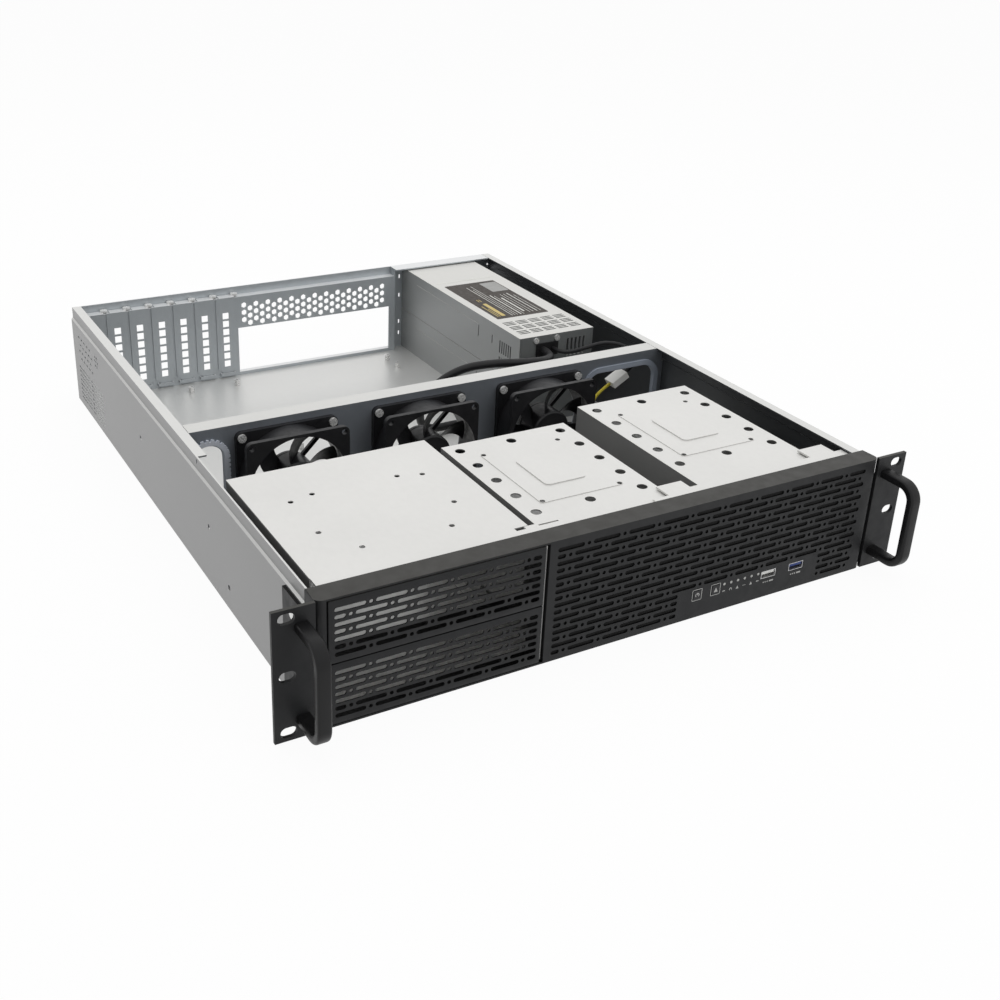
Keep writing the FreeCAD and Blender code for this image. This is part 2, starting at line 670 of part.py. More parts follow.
def rear_panel():
    """Rear wall: set forward at the slots, with a ledge and a lip, and level at the supply."""
    y1 = REAR_WALL_Y + SHEET
    lip_y = BODY_DEPTH - SHEET
    wall = prism(
        [
            (-INNER_X, FLOOR_Z), (IO_WALL_RIGHT, FLOOR_Z), (IO_WALL_RIGHT, LEDGE_Z),
            (-LIP_INNER_X, LEDGE_Z), (-LIP_INNER_X, LIP_START_Z), (-INNER_X, LIP_START_Z),
        ],
        "XZ", REAR_WALL_Y, y1,
    )
    ledge = box(-LIP_INNER_X, IO_WALL_RIGHT, REAR_WALL_Y, BODY_DEPTH, LEDGE_Z - SHEET, LEDGE_Z)
    lip = box(-FLANGE_INNER_X, IO_WALL_RIGHT, lip_y, BODY_DEPTH, LEDGE_Z - SHEET, TRAY_TOP)
    foot = box(-INNER_X, IO_WALL_RIGHT, REAR_WALL_Y, BODY_DEPTH, FLOOR_Z, FLOOR_Z + SHEET)
    web = box(IO_WALL_RIGHT - SHEET, IO_WALL_RIGHT, REAR_WALL_Y, BODY_DEPTH, FLOOR_Z, TRAY_TOP)
    supply_wall = prism(
        [
            (IO_WALL_RIGHT - SHEET, FLOOR_Z), (INNER_X, FLOOR_Z), (INNER_X, LIP_START_Z),
            (LIP_INNER_X, LIP_START_Z), (LIP_INNER_X, UNDER_FLANGE_Z),
            (FLANGE_INNER_X, UNDER_FLANGE_Z), (FLANGE_INNER_X, TRAY_TOP),
            (IO_WALL_RIGHT - SHEET, TRAY_TOP),
        ],
        "XZ", lip_y, BODY_DEPTH,
    )
    top = box(
        IO_WALL_RIGHT - SHEET, FLANGE_INNER_X, BODY_DEPTH - REAR_TOP_FLANGE, BODY_DEPTH,
        TRAY_TOP - SHEET, TRAY_TOP,
    )
    straps = []
    for x in slot_centres():
        half = STRAP_WIDTH / 2
        depth = THIN_SHEET + 0.4
        strap = box(
            x - half, x + half, REAR_WALL_Y - depth - STRAP_SHEET, REAR_WALL_Y, STRAP_BOTTOM, STRAP_TOP
        )
        hollow = box(
            x - COVER_FOOT_WIDTH / 2 - 1, x + COVER_FOOT_WIDTH / 2 + 1, REAR_WALL_Y - depth,
            REAR_WALL_Y, STRAP_BOTTOM - PASS, STRAP_TOP + PASS,
        )
        straps.append(strap.cut(hollow))
    panel = join([wall, ledge, lip, foot, web, supply_wall, top] + straps)
    tools = hexagon_vent(REAR_WALL_Y - PASS, y1 + PASS)
    tools.append(
        box(
            IO_X - IO_WIDTH / 2, IO_X + IO_WIDTH / 2, REAR_WALL_Y - PASS, y1 + PASS,
            IO_Z - IO_HEIGHT / 2, IO_Z + IO_HEIGHT / 2,
        )
    )
    for x in slot_centres():
        half = SLOT_WINDOW_WIDTH / 2
        tools.append(
            box(x - half, x + half, REAR_WALL_Y - PASS, y1 + PASS, SLOT_WINDOW_BOTTOM, SLOT_WINDOW_TOP)
        )
        screw_y = REAR_WALL_Y + COVER_SCREW_INSET
        start = LEDGE_Z - SHEET - PASS
        length = SHEET + 2 * PASS
        tools.append(rod(x + COVER_TAB_OFFSET, screw_y, start, COVER_THREAD_HOLE, length, "Z"))
    half = POST_SLOT_WIDTH / 2
    rise = POST_SLOT_HEIGHT / 2
    for z in POST_SLOTS:
        tools.append(
            box(
                POST_SLOT_X - half, POST_SLOT_X + half, lip_y - PASS, BODY_DEPTH + PASS,
                z - rise, z + rise,
            )
        )
    tools.append(
        box(
            PSU_LEFT + SUPPLY_WINDOW_MARGIN, PSU_RIGHT - SUPPLY_WINDOW_MARGIN, lip_y - PASS,
            BODY_DEPTH + PASS, FLOOR_Z + SUPPLY_WINDOW_LIP, PSU_TOP - SUPPLY_WINDOW_LIP,
        )
    )
    for row in range(SIDE_WINDOW_COUNT):
        z = SIDE_WINDOW_FIRST + row * SIDE_WINDOW_PITCH
        tools.append(
            box(
                PSU_RIGHT + SIDE_WINDOW_MARGIN, INNER_X - SIDE_WINDOW_MARGIN, lip_y - PASS,
                BODY_DEPTH + PASS, z, z + SIDE_WINDOW_HEIGHT,
            )
        )
    for x, z in rear_screw_places():
        tools.append(rod(x, lip_y - PASS, z, REAR_SCREW_HOLE, SHEET + 2 * PASS))
    return panel.cut(tools)


def rear_screw_places():
    """The places of the supply's screws in the rear wall, beside its window."""
    columns = (PSU_LEFT + REAR_SCREW_MARGIN, PSU_RIGHT - REAR_SCREW_MARGIN)
    return [(x, z) for x in columns for z in REAR_SCREW_ROWS]


def slot_cover(x):
    """A perforated plate with a tab bent over the ledge and a narrow foot behind its strap."""
    y1 = REAR_WALL_Y
    y0 = y1 - THIN_SHEET
    half = COVER_PLATE_WIDTH / 2
    foot = COVER_FOOT_WIDTH / 2
    plate = prism(
        [
            (x - foot, FLOOR_Z + CLEARANCE), (x + foot, FLOOR_Z + CLEARANCE),
            (x + foot, COVER_FOOT_TOP), (x + half, COVER_SHOULDER),
            (x + half, LEDGE_Z + THIN_SHEET), (x - half, LEDGE_Z + THIN_SHEET),
            (x - half, COVER_SHOULDER), (x - foot, COVER_FOOT_TOP),
        ],
        "XZ", y0, y1,
    )
    tab = box(
        x - COVER_TAB_LEFT, x + half, y0, BODY_DEPTH - SHEET - CLEARANCE, LEDGE_Z,
        LEDGE_Z + THIN_SHEET,
    )
    screw_y = REAR_WALL_Y + COVER_SCREW_INSET
    length = THIN_SHEET + 2 * PASS
    tools = [rod(x + COVER_TAB_OFFSET, screw_y, LEDGE_Z - PASS, COVER_SCREW_HOLE, length, "Z")]
    side = COVER_HOLE / 2
    for index in range(COVER_HOLE_COUNT):
        z = COVER_HOLE_FIRST + index * COVER_HOLE_PITCH
        tools.append(box(x - side, x + side, y0 - PASS, y1 + PASS, z - side, z + side))
    return join([plate, tab]).cut(tools)


def slot_cover_screws():
    """One screw beside each cover's tab, its head on the tab."""
    seat = LEDGE_Z + THIN_SHEET
    return [
        screw(x + COVER_TAB_OFFSET, REAR_WALL_Y + COVER_SCREW_INSET, seat, "Z", 1, shank=4.0)
        for x in slot_centres()
    ]


def motherboard_standoffs():
    """Hexagonal pillars on the floor, bored for the board's screws."""
    places = [(x, y) for x in PILLAR_COLUMNS for y in PILLAR_ROWS] + list(PILLAR_EXTRAS)
    front = FAN_WALL_Y + SHEET + FAN_WALL_FOOT + PILLAR_RADIUS + CLEARANCE
    side = INNER_X - PILLAR_RADIUS - CLEARANCE
    pillars = []
    for column, row in places:
        x = BOARD_RIGHT_COLUMN + column
        y = BOARD_REAR_ROW + row
        if y < front or abs(x) > side:
            continue
        corners = []
        for step in range(6):
            angle = step * math.pi / 3
            corners.append((x + PILLAR_RADIUS * math.cos(angle), y + PILLAR_RADIUS * math.sin(angle)))
        pillar = prism(corners, "XY", FLOOR_Z, FLOOR_Z + PILLAR_HEIGHT)
        pillars.append(pillar.cut(rod(x, y, FLOOR_Z + PILLAR_FLOOR, PILLAR_BORE, PILLAR_HEIGHT, "Z")))
    return pillars


# Front panel, ears and controls


def grille_slots():
    """Tools for the slots of the grille, laid like brickwork round the control block."""
    tools = []
    for row in range(GRILLE_ROWS):
        z = GRILLE_FIRST_ROW + row * GRILLE_ROW_PITCH
        link = GRILLE_LINK_ODD if row % 2 else GRILLE_LINK_EVEN
        spans = [(GRILLE_LEFT, GRILLE_RIGHT)]
        if row < CONTROL_ROWS:
            spans = [(GRILLE_LEFT, CONTROL_LEFT), (CONTROL_RIGHT, GRILLE_RIGHT)]
        for low, high in spans:
            for x0, x1 in link_spans(link, GRILLE_PITCH, low, high):
                tools.append(
                    box(x0, x1, -PASS, SHEET + PASS, z - SLOT_HEIGHT / 2, z + SLOT_HEIGHT / 2)
                )
    return tools


def light_places():
    """The middles of the indicator lights."""
    return [LIGHT_FIRST_X + index * LIGHT_PITCH for index in range(LIGHT_COUNT)]


def control_holes():
    """Tools for the button, light and socket holes of the front panel."""
    tools = []
    for x in (POWER_BUTTON_X, RESET_BUTTON_X):
        half = BUTTON_WIDTH / 2 + CLEARANCE
        rise = BUTTON_HEIGHT / 2 + CLEARANCE
        tools.append(box(x - half, x + half, -PASS, SHEET + PASS, CONTROL_Z - rise, CONTROL_Z + rise))
    for x in light_places():
        tools.append(rod(x, -PASS, LIGHT_Z, LIGHT_RADIUS + LIGHT_FIT, SHEET + 2 * PASS))
    for x in (USB_WHITE_X, USB_BLUE_X):
        half = USB_WIDTH / 2 + CLEARANCE
        rise = USB_HEIGHT / 2 + CLEARANCE
        tools.append(box(x - half, x + half, -PASS, SHEET + PASS, CONTROL_Z - rise, CONTROL_Z + rise))
    return tools


def front_block(inset, y1):
    """The front panel's envelope, with its two upright front corners rounded."""
    radius = BEZEL_CORNER - inset
    x = WALL_X - inset
    outline = [(-x, y1, 0), (x, y1, 0), (x, inset, radius), (-x, inset, radius)]
    return rounded_prism(outline, "XY", inset, PANEL_HEIGHT - inset)


def front_bezel():
    """Front panel: a shallow pan with a bay opening on the left and a slotted grille."""
    shell = front_block(0, BEZEL_DEPTH).cut(front_block(SHEET, BEZEL_DEPTH + PASS))
    inner_edge = box(BAY_RIGHT, BAY_RIGHT + SHEET, 0, BEZEL_DEPTH, SHEET / 2, PANEL_HEIGHT - SHEET / 2)
    shell = join([shell, inner_edge])
    bay = box(BAY_LEFT, BAY_RIGHT, -PASS, SHEET + PASS, SHEET, TRAY_TOP)
    return shell.cut([bay] + grille_slots() + control_holes())


def dust_filter():
    """A thin dark sheet behind the grille, cut out round the controls."""
    y0 = SHEET
    y1 = SHEET + FILTER_THICKNESS
    left = BAY_RIGHT + SHEET + CLEARANCE
    right = WALL_X - BEZEL_CORNER
    bottom = SHEET + CLEARANCE
    top = TRAY_TOP - CLEARANCE
    notch_left = CONTROL_LEFT + FILTER_OVERLAP
    notch_right = CONTROL_RIGHT - FILTER_OVERLAP
    step = GRILLE_FIRST_ROW + CONTROL_ROWS * GRILLE_ROW_PITCH - SLOT_HEIGHT / 2 - PASS
    outline = [
        (left, bottom), (notch_left, bottom), (notch_left, step), (notch_right, step),
        (notch_right, bottom), (right, bottom), (right, top), (left, top),
    ]
    return prism(outline, "XZ", y0, y1)


def bay_cover(z0, z1):
    """A shallow pan with a slotted face."""
    wall = THIN_SHEET
    outer = box(COVER_LEFT, COVER_RIGHT, 0, BEZEL_DEPTH, z0, z1)
    inner = box(
        COVER_LEFT + wall, COVER_RIGHT - wall, wall, BEZEL_DEPTH + PASS, z0 + wall, z1 - wall
    )
    tools = []
    for row in range(COVER_ROWS):
        z = z0 + COVER_FIRST_ROW + row * COVER_ROW_PITCH
        link = COVER_LINK_ODD if row % 2 else COVER_LINK_EVEN
        low = COVER_LEFT + COVER_BORDER_LEFT
        high = COVER_RIGHT - COVER_BORDER_RIGHT
        for x0, x1 in link_spans(link, COVER_PITCH, low, high):
            tools.append(box(x0, x1, -PASS, wall + PASS, z - SLOT_HEIGHT / 2, z + SLOT_HEIGHT / 2))
    return outer.cut(inner).cut(tools)


def rack_slot(x, z):
    """A tool for one oblong rack slot."""
    half = SLOT_LENGTH / 2 - SLOT_RADIUS
    length = EAR_SHEET + 2 * PASS
    middle = box(x - half, x + half, -PASS, EAR_SHEET + PASS, z - SLOT_RADIUS, z + SLOT_RADIUS)
    ends = [rod(x + side * half, -PASS, z, SLOT_RADIUS, length) for side in (-1, 1)]
    return join([middle] + ends)


def handle_screw_places():
    """The heights of a handle's two screws."""
    reach = (HANDLE_HEIGHT - HANDLE_BAR) / 2
    return [PANEL_HEIGHT / 2 - reach, PANEL_HEIGHT / 2 + reach]


def ear_right():
    """Rack ear: a slotted flange and a leg against the side wall."""
    flange = box(WALL_X, PANEL_WIDTH / 2, 0, EAR_SHEET, 0, PANEL_HEIGHT)
    leg = box(WALL_X, WALL_X + EAR_LEG_SHEET, 0, EAR_LEG, EAR_LEG_BOTTOM, LIP_START_Z)
    tools = ear_screw_holes(1)
    for step in (-1, 0, 1):
        tools.append(rack_slot(SLOT_COLUMN_X, PANEL_HEIGHT / 2 + step * SLOT_SPREAD / 2))
    for z in handle_screw_places():
        tools.append(rod(HANDLE_X, -PASS, z, EAR_HOLE_RADIUS, EAR_SHEET + 2 * PASS))
    return join([flange, leg]).cut(tools)


def ear_screws():
    """Three screws through each ear's leg."""
    face = WALL_X + EAR_LEG_SHEET
    return [
        screw(
            side * face, EAR_SCREW_Y, z, "X", side, EAR_SCREW_HEAD_RADIUS, 1.6, EAR_SCREW_RADIUS,
            EAR_SCREW_LENGTH,
        )
        for side in (-1, 1)
        for z in EAR_SCREW_ROWS
    ]


def handle_right():
    """Bow handle of flat bar, its feet on the ear."""
    low = (PANEL_HEIGHT - HANDLE_HEIGHT) / 2
    high = low + HANDLE_HEIGHT
    outline = [
        (0, low, 0), (-HANDLE_REACH, low, HANDLE_OUTER_CORNER),
        (-HANDLE_REACH, high, HANDLE_OUTER_CORNER), (0, high, 0), (0, high - HANDLE_BAR, 0),
        (HANDLE_BAR - HANDLE_REACH, high - HANDLE_BAR, HANDLE_INNER_CORNER),
        (HANDLE_BAR - HANDLE_REACH, low + HANDLE_BAR, HANDLE_INNER_CORNER),
        (0, low + HANDLE_BAR, 0),
    ]
    half = HANDLE_WIDTH / 2
    bow = rounded_prism(outline, "YZ", HANDLE_X - half, HANDLE_X + half)
    depth = HANDLE_SCREW_LENGTH - EAR_SHEET + PASS
    return bow.cut(
        [rod(HANDLE_X, PASS, z, HANDLE_BORE_RADIUS, -depth - PASS) for z in handle_screw_places()]
    )


def handle_screws():
    """Two screws into each handle, from behind the ear."""
    return [
        screw(
            side * HANDLE_X, EAR_SHEET, z, "Y", 1, HANDLE_SCREW_HEAD_RADIUS, HANDLE_SCREW_HEAD,
            HANDLE_BORE_RADIUS, HANDLE_SCREW_LENGTH,
        )
        for side in (-1, 1)
        for z in handle_screw_places()
    ]


def push_button(x):
    """A square cap with a round stem."""
    y0 = -BUTTON_PROUD
    y1 = y0 + BUTTON_LENGTH
    half = BUTTON_WIDTH / 2
    rise = BUTTON_HEIGHT / 2
    cap = box(x - half, x + half, y0, y1, CONTROL_Z - rise, CONTROL_Z + rise)
    return join([cap, rod(x, y1, CONTROL_Z, BUTTON_STEM_RADIUS, BUTTON_STEM)])


def front_io_board():
    """Circuit board with a switch body behind each button."""
    bottom = BOARD_TOP - BOARD_THICKNESS
    board = box(BOARD_LEFT, BOARD_RIGHT, BOARD_FRONT, BOARD_REAR, bottom, BOARD_TOP)
    front = BUTTON_LENGTH - BUTTON_PROUD + BUTTON_TRAVEL + CLEARANCE
    bodies = []
    bores = []
    for x in (POWER_BUTTON_X, RESET_BUTTON_X):
        half = SWITCH_SIZE / 2
        bodies.append(
            box(
                x - half, x + half, BOARD_FRONT, BOARD_FRONT + SWITCH_SIZE, BOARD_TOP,
                BOARD_TOP + SWITCH_HEIGHT,
            )
        )
        nose = rod(x, front, CONTROL_Z, SWITCH_NOSE_RADIUS, BOARD_FRONT - front + PASS)
        bodies.append(nose)
        bore = BUTTON_STEM + BUTTON_TRAVEL + CLEARANCE
        bores.append(rod(x, front - PASS, CONTROL_Z, BUTTON_STEM_RADIUS + STEM_FIT, bore + PASS))
    return join([board] + bodies).cut(bores)


def front_io_bracket():
    """A folded stand on the floor that carries the board."""
    top = BOARD_TOP - BOARD_THICKNESS
    line = [
        (BOARD_STAND_FRONT, FLOOR_Z), (BOARD_STAND_FRONT, top), (BOARD_REAR, top),
        (BOARD_REAR, FLOOR_Z),
    ]
    left = BOARD_LEFT + BOARD_OVERHANG
    return folded_sheet(line, -SHEET, "YZ", left, BOARD_RIGHT - BOARD_OVERHANG)


def indicator_lights():
    """Six light guides, each bent down to the board."""
    lights = []
    for x in light_places():
        guide = rod(x, 0, LIGHT_Z, LIGHT_RADIUS, LIGHT_LENGTH)
        half = LIGHT_BLOCK_WIDTH / 2
        block = box(
            x - half, x + half, BOARD_FRONT, LIGHT_LENGTH + PASS, BOARD_TOP, LIGHT_Z + LIGHT_RADIUS
        )
        lights.append(join([guide, block]))
    return lights


def usb_port(x):
    """A metal shell with a tongue inside, standing on the board."""
    half = USB_WIDTH / 2
    rise = USB_HEIGHT / 2
    shell = box(x - half, x + half, USB_RECESS, USB_DEPTH, CONTROL_Z - rise, CONTROL_Z + rise)
    hollow = box(
        x - half + USB_WALL, x + half - USB_WALL, -PASS, USB_DEPTH - USB_BACK,
        CONTROL_Z - rise + USB_WALL, CONTROL_Z + rise - USB_WALL,
    )
    tongue = box(
        x - USB_TONGUE_WIDTH / 2, x + USB_TONGUE_WIDTH / 2, USB_TONGUE_RECESS,
        USB_DEPTH - USB_BACK / 2, CONTROL_Z, CONTROL_Z + USB_TONGUE,
    )
    foot = box(x - half, x + half, BOARD_FRONT, USB_DEPTH, BOARD_TOP, CONTROL_Z - rise + USB_WALL)
    return join([shell.cut(hollow), tongue, foot])


def front_frame():
    """Frame behind the front panel: two windows, a foot, a forward post and a top flange."""
    y0 = BEZEL_DEPTH
    y1 = y0 + SHEET
    cage_inner_left = CAGE_LEFT + THIN_SHEET
    cage_inner_right = CAGE_LEFT + CAGE_WIDTH - THIN_SHEET
    plate = bulkhead(y0, y1, FRAME_TOP)
    windows = [
        box(cage_inner_left, cage_inner_right, y0 - PASS, y1 + PASS, FLOOR_Z + SHEET, CAGE_TOP - SHEET),
        box(
            GRILLE_LEFT + FRAME_POST_OVERLAP, GRILLE_RIGHT, y0 - PASS, y1 + PASS, FLOOR_Z + SHEET,
            CAGE_TOP - SHEET,
        ),
    ]
    foot = box(-INNER_X, INNER_X, y1, y1 + FRAME_FOOT, FLOOR_Z, FLOOR_Z + SHEET)
    stand_gap = box(BOARD_LEFT, BOARD_RIGHT, y1, BODY_DEPTH, 0, FLOOR_Z + 2 * SHEET)
    post = box(
        FRAME_POST_X - THIN_SHEET / 2, FRAME_POST_X + THIN_SHEET / 2, FRAME_POST_FRONT, y1,
        FLOOR_Z + SHEET, FRAME_TOP,
    )
    post_web = box(FRAME_POST_X, GRILLE_LEFT + FRAME_POST_OVERLAP, y0, y1, FLOOR_Z, FRAME_TOP)
    outline = [(-FLANGE_INNER_X, y0)]
    left = -FLANGE_INNER_X
    for right, depth in FLANGE_STEPS:
        outline += [(left, y0 + depth), (right, y0 + depth)]
        left = right
    outline.append((FLANGE_INNER_X, y0))
    flange = prism(outline, "XY", FRAME_TOP - SHEET, FRAME_TOP)
    slot_rear = FRAME_FLANGE - FLANGE_SLOT_INSET
    slot = box(
        FLANGE_SLOT_LEFT, FLANGE_SLOT_LEFT + FLANGE_SLOT_LENGTH, slot_rear - FLANGE_SLOT_WIDTH,
        slot_rear, FRAME_TOP - 2 * SHEET, FRAME_TOP + PASS,
    )
    frame = plate.cut(windows)
    return join([frame, foot.cut(stand_gap), post, post_web, flange]).cut(slot)


# Cage, brackets, cross wall and fans


def inverted_channel(x0, width, y0, y1, top):
    """An upturned channel of thin sheet with inward feet on the floor."""
    x1 = x0 + width
    line = [
        (x0 + CAGE_FOOT, FLOOR_Z), (x0, FLOOR_Z), (x0, top), (x1, top), (x1, FLOOR_Z),
        (x1 - CAGE_FOOT, FLOOR_Z),
    ]
    return folded_sheet(line, -THIN_SHEET, "XZ", y0, y1)


def pattern(x, y, spread):
    """The four corners of a drive's hole pattern."""
    across, along = spread
    return [(x + i * across / 2, y + j * along / 2) for i in (-1, 1) for j in (-1, 1)]


def drive_cage():
    """Cage of the two wide bays, with drive holes on top and slots in its sides."""
    x0 = CAGE_LEFT
    x1 = CAGE_LEFT + CAGE_WIDTH
    y1 = CAGE_FRONT + CAGE_DEPTH
    cage = inverted_channel(x0, CAGE_WIDTH, CAGE_FRONT, y1, CAGE_TOP)
    middle = (x0 + x1) / 2
    tools = []
    places = pattern(middle, CAGE_SMALL_DRIVE_Y, SMALL_DRIVE)
    places += pattern(middle, CAGE_LARGE_DRIVE_Y, LARGE_DRIVE)
    for x, y in places:
        tools.append(rod(x, y, CAGE_TOP - 2 * PASS, DRIVE_HOLE_RADIUS, 4 * PASS, "Z"))
    for side in (x0, x1):
        for bay in (0, 1):
            z = FLOOR_Z + THIN_SHEET + SIDE_SLOT_Z + bay * (WIDE_BAY_HEIGHT - PASS)
            for place in SIDE_SLOT_PLACES:
                y = CAGE_FRONT + place
                tools.append(
                    box(
                        side - 2 * PASS, side + 2 * PASS, y - SIDE_SLOT_LENGTH, y,
                        z - SIDE_SLOT_HEIGHT / 2, z + SIDE_SLOT_HEIGHT / 2,
                    )
                )
    return cage.cut(tools)


def raised_panel(x, y, width, length, radius, bottom, rise):
    """The rise and the hollow under it of an embossed rectangle in the top of a bracket."""
    def slab(shrink, z0, z1):
        half = width / 2 - shrink
        reach = length / 2 - shrink
        corners = [
            (x - half, y - reach), (x + half, y - reach), (x + half, y + reach),
            (x - half, y + reach),
        ]
        return rounded_prism([(u, v, radius) for u, v in corners], "XY", z0, z1)
    return slab(0, bottom, bottom + rise), slab(THIN_SHEET, bottom - THIN_SHEET, bottom + rise - THIN_SHEET)


def drive_bracket(left, front, rear, drive_y, first_row, row_pitch):
    """Drive bracket: a channel with large holes round an embossed field for a small drive."""
    middle = left + BRACKET_WIDTH / 2
    channel = inverted_channel(left, BRACKET_WIDTH, front, rear, BRACKET_TOP)
    field, field_hollow = raised_panel(
        middle, drive_y, SMALL_DRIVE[0] + 2 * EMBOSS_MARGIN, SMALL_DRIVE[1] + 2 * EMBOSS_MARGIN,
        EMBOSS_MARGIN, BRACKET_TOP, EMBOSS,
    )
    pad, pad_hollow = raised_panel(
        middle, drive_y, PAD_WIDTH, PAD_LENGTH, PAD_CORNER, BRACKET_TOP + EMBOSS, PAD_RISE
    )
    solid = join([channel, field, pad]).cut([join([field_hollow, pad_hollow])])
    tools = []
    across = BRACKET_WIDTH / 2 - BRACKET_HOLE_INSET
    start = BRACKET_TOP - THIN_SHEET - PASS
    length = THIN_SHEET + EMBOSS + 2 * PASS
    for row in range(BRACKET_HOLE_ROWS):
        y = first_row + row * row_pitch
        at_end = row in (0, BRACKET_HOLE_ROWS - 1)
        for offset in (-across, 0, across) if at_end else (-across, across):
            tools.append(rod(middle + offset, y, start, BRACKET_HOLE_RADIUS, length, "Z"))
    for x, y in pattern(middle, drive_y, SMALL_DRIVE):
        tools.append(rod(x, y, start, DRIVE_HOLE_RADIUS, length, "Z"))
    over_foot = box(
        left - PASS, left + BRACKET_WIDTH + PASS, 0, BEZEL_DEPTH + SHEET + FRAME_FOOT + CLEARANCE,
        0, FLOOR_Z + SHEET + CLEARANCE,
    )
    return solid.cut(tools + [over_foot])


def gate(limits, grow, y0, y1):
    """The shape of a cable opening in the cross wall, widened by grow."""
    x0, x1 = limits
    top = CABLE_GATE_TOP + grow
    radius = CABLE_GATE_CORNER + grow
    bottom = FLOOR_Z + SHEET
    radius = min(radius, (x1 - x0) / 2 + grow - 0.5)
    outline = [
        (x0 - grow, bottom, 0), (x1 + grow, bottom, 0), (x1 + grow, top, radius),
        (x0 - grow, top, radius),
    ]
    return rounded_prism(outline, "XZ", y0, y1)


def fan_wall():
    """Cross wall with a round opening behind each fan and a cable opening at each end."""
    y0 = FAN_WALL_Y
    y1 = y0 + SHEET
    plate = bulkhead(y0, y1, TRAY_TOP)
    top = box(-FLANGE_INNER_X, FLANGE_INNER_X, y0, y1 + FAN_WALL_FLANGE, TRAY_TOP - SHEET, TRAY_TOP)
    foot = box(-INNER_X, INNER_X, y0, y1 + FAN_WALL_FOOT, FLOOR_Z, FLOOR_Z + SHEET)
    tools = [gate(limits, 0, y0 - PASS, y1 + PASS) for limits in (LEFT_GATE, RIGHT_GATE)]
    for x in FAN_CENTRES:
        tools.append(rod(x, y0 - PASS, FAN_Z, FAN_BORE, SHEET + 2 * PASS))
        for i in (-1, 1):
            for j in (-1, 1):
                tools.append(
                    rod(
                        x + i * FAN_HOLES / 2, y0 - PASS, FAN_Z + j * FAN_HOLES / 2,
                        FAN_SCREW_RADIUS + CLEARANCE, SHEET + 2 * PASS,
                    )
                )
    return join([plate, top, foot]).cut(tools)


def cable_trim(limits, wall):
    """Soft edging of a cable opening, grooved for the sheet of the wall."""
    y0 = FAN_WALL_Y + SHEET / 2 - TRIM_DEPTH / 2
    y1 = y0 + TRIM_DEPTH
    band = gate(limits, TRIM_HALF, y0, y1).cut(gate(limits, -TRIM_HALF, y0 - PASS, y1 + PASS))
    return band.cut(wall)


def fan_blade(hub, tip, depth, chord, turn):
    """One fan blade: a curved strip across the air's way, between hub and tip, along X."""
    bow = BLADE_BOW * depth
    thickness = BLADE_THICKNESS * depth
    root = Vector(0, -depth / 2, -chord / 2)
    edge = Vector(0, depth / 2, chord / 2)
    heel = root + Vector(0, 0, thickness)
    outer = Part.Arc(root, Vector(0, bow, -bow), edge).toShape()
    inner = Part.Arc(edge, Vector(0, bow - thickness, thickness - bow), heel).toShape()
    close = Part.LineSegment(heel, root).toShape()
    strip = Part.Face(Part.Wire([outer, inner, close])).extrude(Vector(tip + 2, 0, 0))
    ring = rod(0, -depth, 0, tip, 2 * depth).cut(rod(0, -depth, 0, hub - 0.5, 2 * depth))
    blade = strip.common(ring)
    blade.rotate(Vector(0, 0, 0), Vector(0, 1, 0), turn)
    return blade


def fan_impeller(x, front, z, hub, tip, depth, blades, fan_depth):
    """Impeller: a cup hub with a shaft and blades. front is the fan's front face."""
    y0 = front + FAN_FACE_GAP
    length = fan_depth - FAN_CAP_GAP - FAN_FACE_GAP
    wall = 1.5
    cup = rod(0, 0, 0, hub, length).cut(rod(0, wall, 0, hub - wall, length))
    shaft = rod(0, 0, 0, FAN_SHAFT, fan_depth - FAN_CAP_GAP - CLEARANCE)
    middle = length / 2
    parts = [cup, shaft]
    for index in range(blades):
        blade = fan_blade(hub, tip, depth, tip * 0.42, 360.0 * index / blades)
        blade.translate(Vector(0, middle, 0))
        parts.append(blade)
    impeller = join(parts)
    impeller.translate(Vector(x, y0, z))
    return impeller


def fan_frame(x, front, z, size, depth, bore, hub, flange, hole_spread, hole_radius):
    """Fan frame: two square flanges, a round barrel, and a bearing held by four struts."""
    half = size / 2
    corner = size / 16
    square = [(-half, -half, corner), (half, -half, corner), (half, half, corner), (-half, half, corner)]
    flanges = [
        rounded_prism(square, "XZ", 0, flange),
        rounded_prism(square, "XZ", depth - flange, depth),
    ]
    barrel = rod(0, 0, 0, half * FAN_BARREL / (FAN_SIZE / 2), depth)
    shell = join(flanges + [barrel]).cut(rod(0, -PASS, 0, bore, depth + 2 * PASS))
    seat = depth - 2.5
    struts = []
    for turn in (45, 135):
        strut = box(-bore - 1, bore + 1, seat, depth, -1.6, 1.6)
        strut.rotate(Vector(0, 0, 0), Vector(0, 1, 0), turn)
        struts.append(strut)
    bearing = rod(0, depth * 0.5, 0, FAN_SHAFT + 2.0, depth * 0.5)
    frame = join([shell, rod(0, seat, 0, hub, depth - seat), bearing] + struts)
    tools = [rod(0, 0, 0, FAN_SHAFT + SHAFT_FIT, depth - 0.4)]
    for i in (-1, 1):
        for j in (-1, 1):
            place = hole_spread / 2
            tools.append(rod(i * place, -PASS, j * place, hole_radius, depth + 2 * PASS))
    frame = frame.cut(tools)
    frame.translate(Vector(x, front, z))
    return frame


def fan_screws():
    """Four screws through the rear flange of each fan and the wall."""
    seat = FAN_WALL_Y - FAN_FLANGE
    screws = []
    for x in FAN_CENTRES:
        for i in (-1, 1):
            for j in (-1, 1):
                z = FAN_Z + j * FAN_HOLES / 2
                place = x + i * FAN_HOLES / 2
                screws.append(screw(place, seat, z, "Y", -1, 3.2, 1.8, FAN_SCREW_RADIUS, 8.0))
    return screws


# Power supply


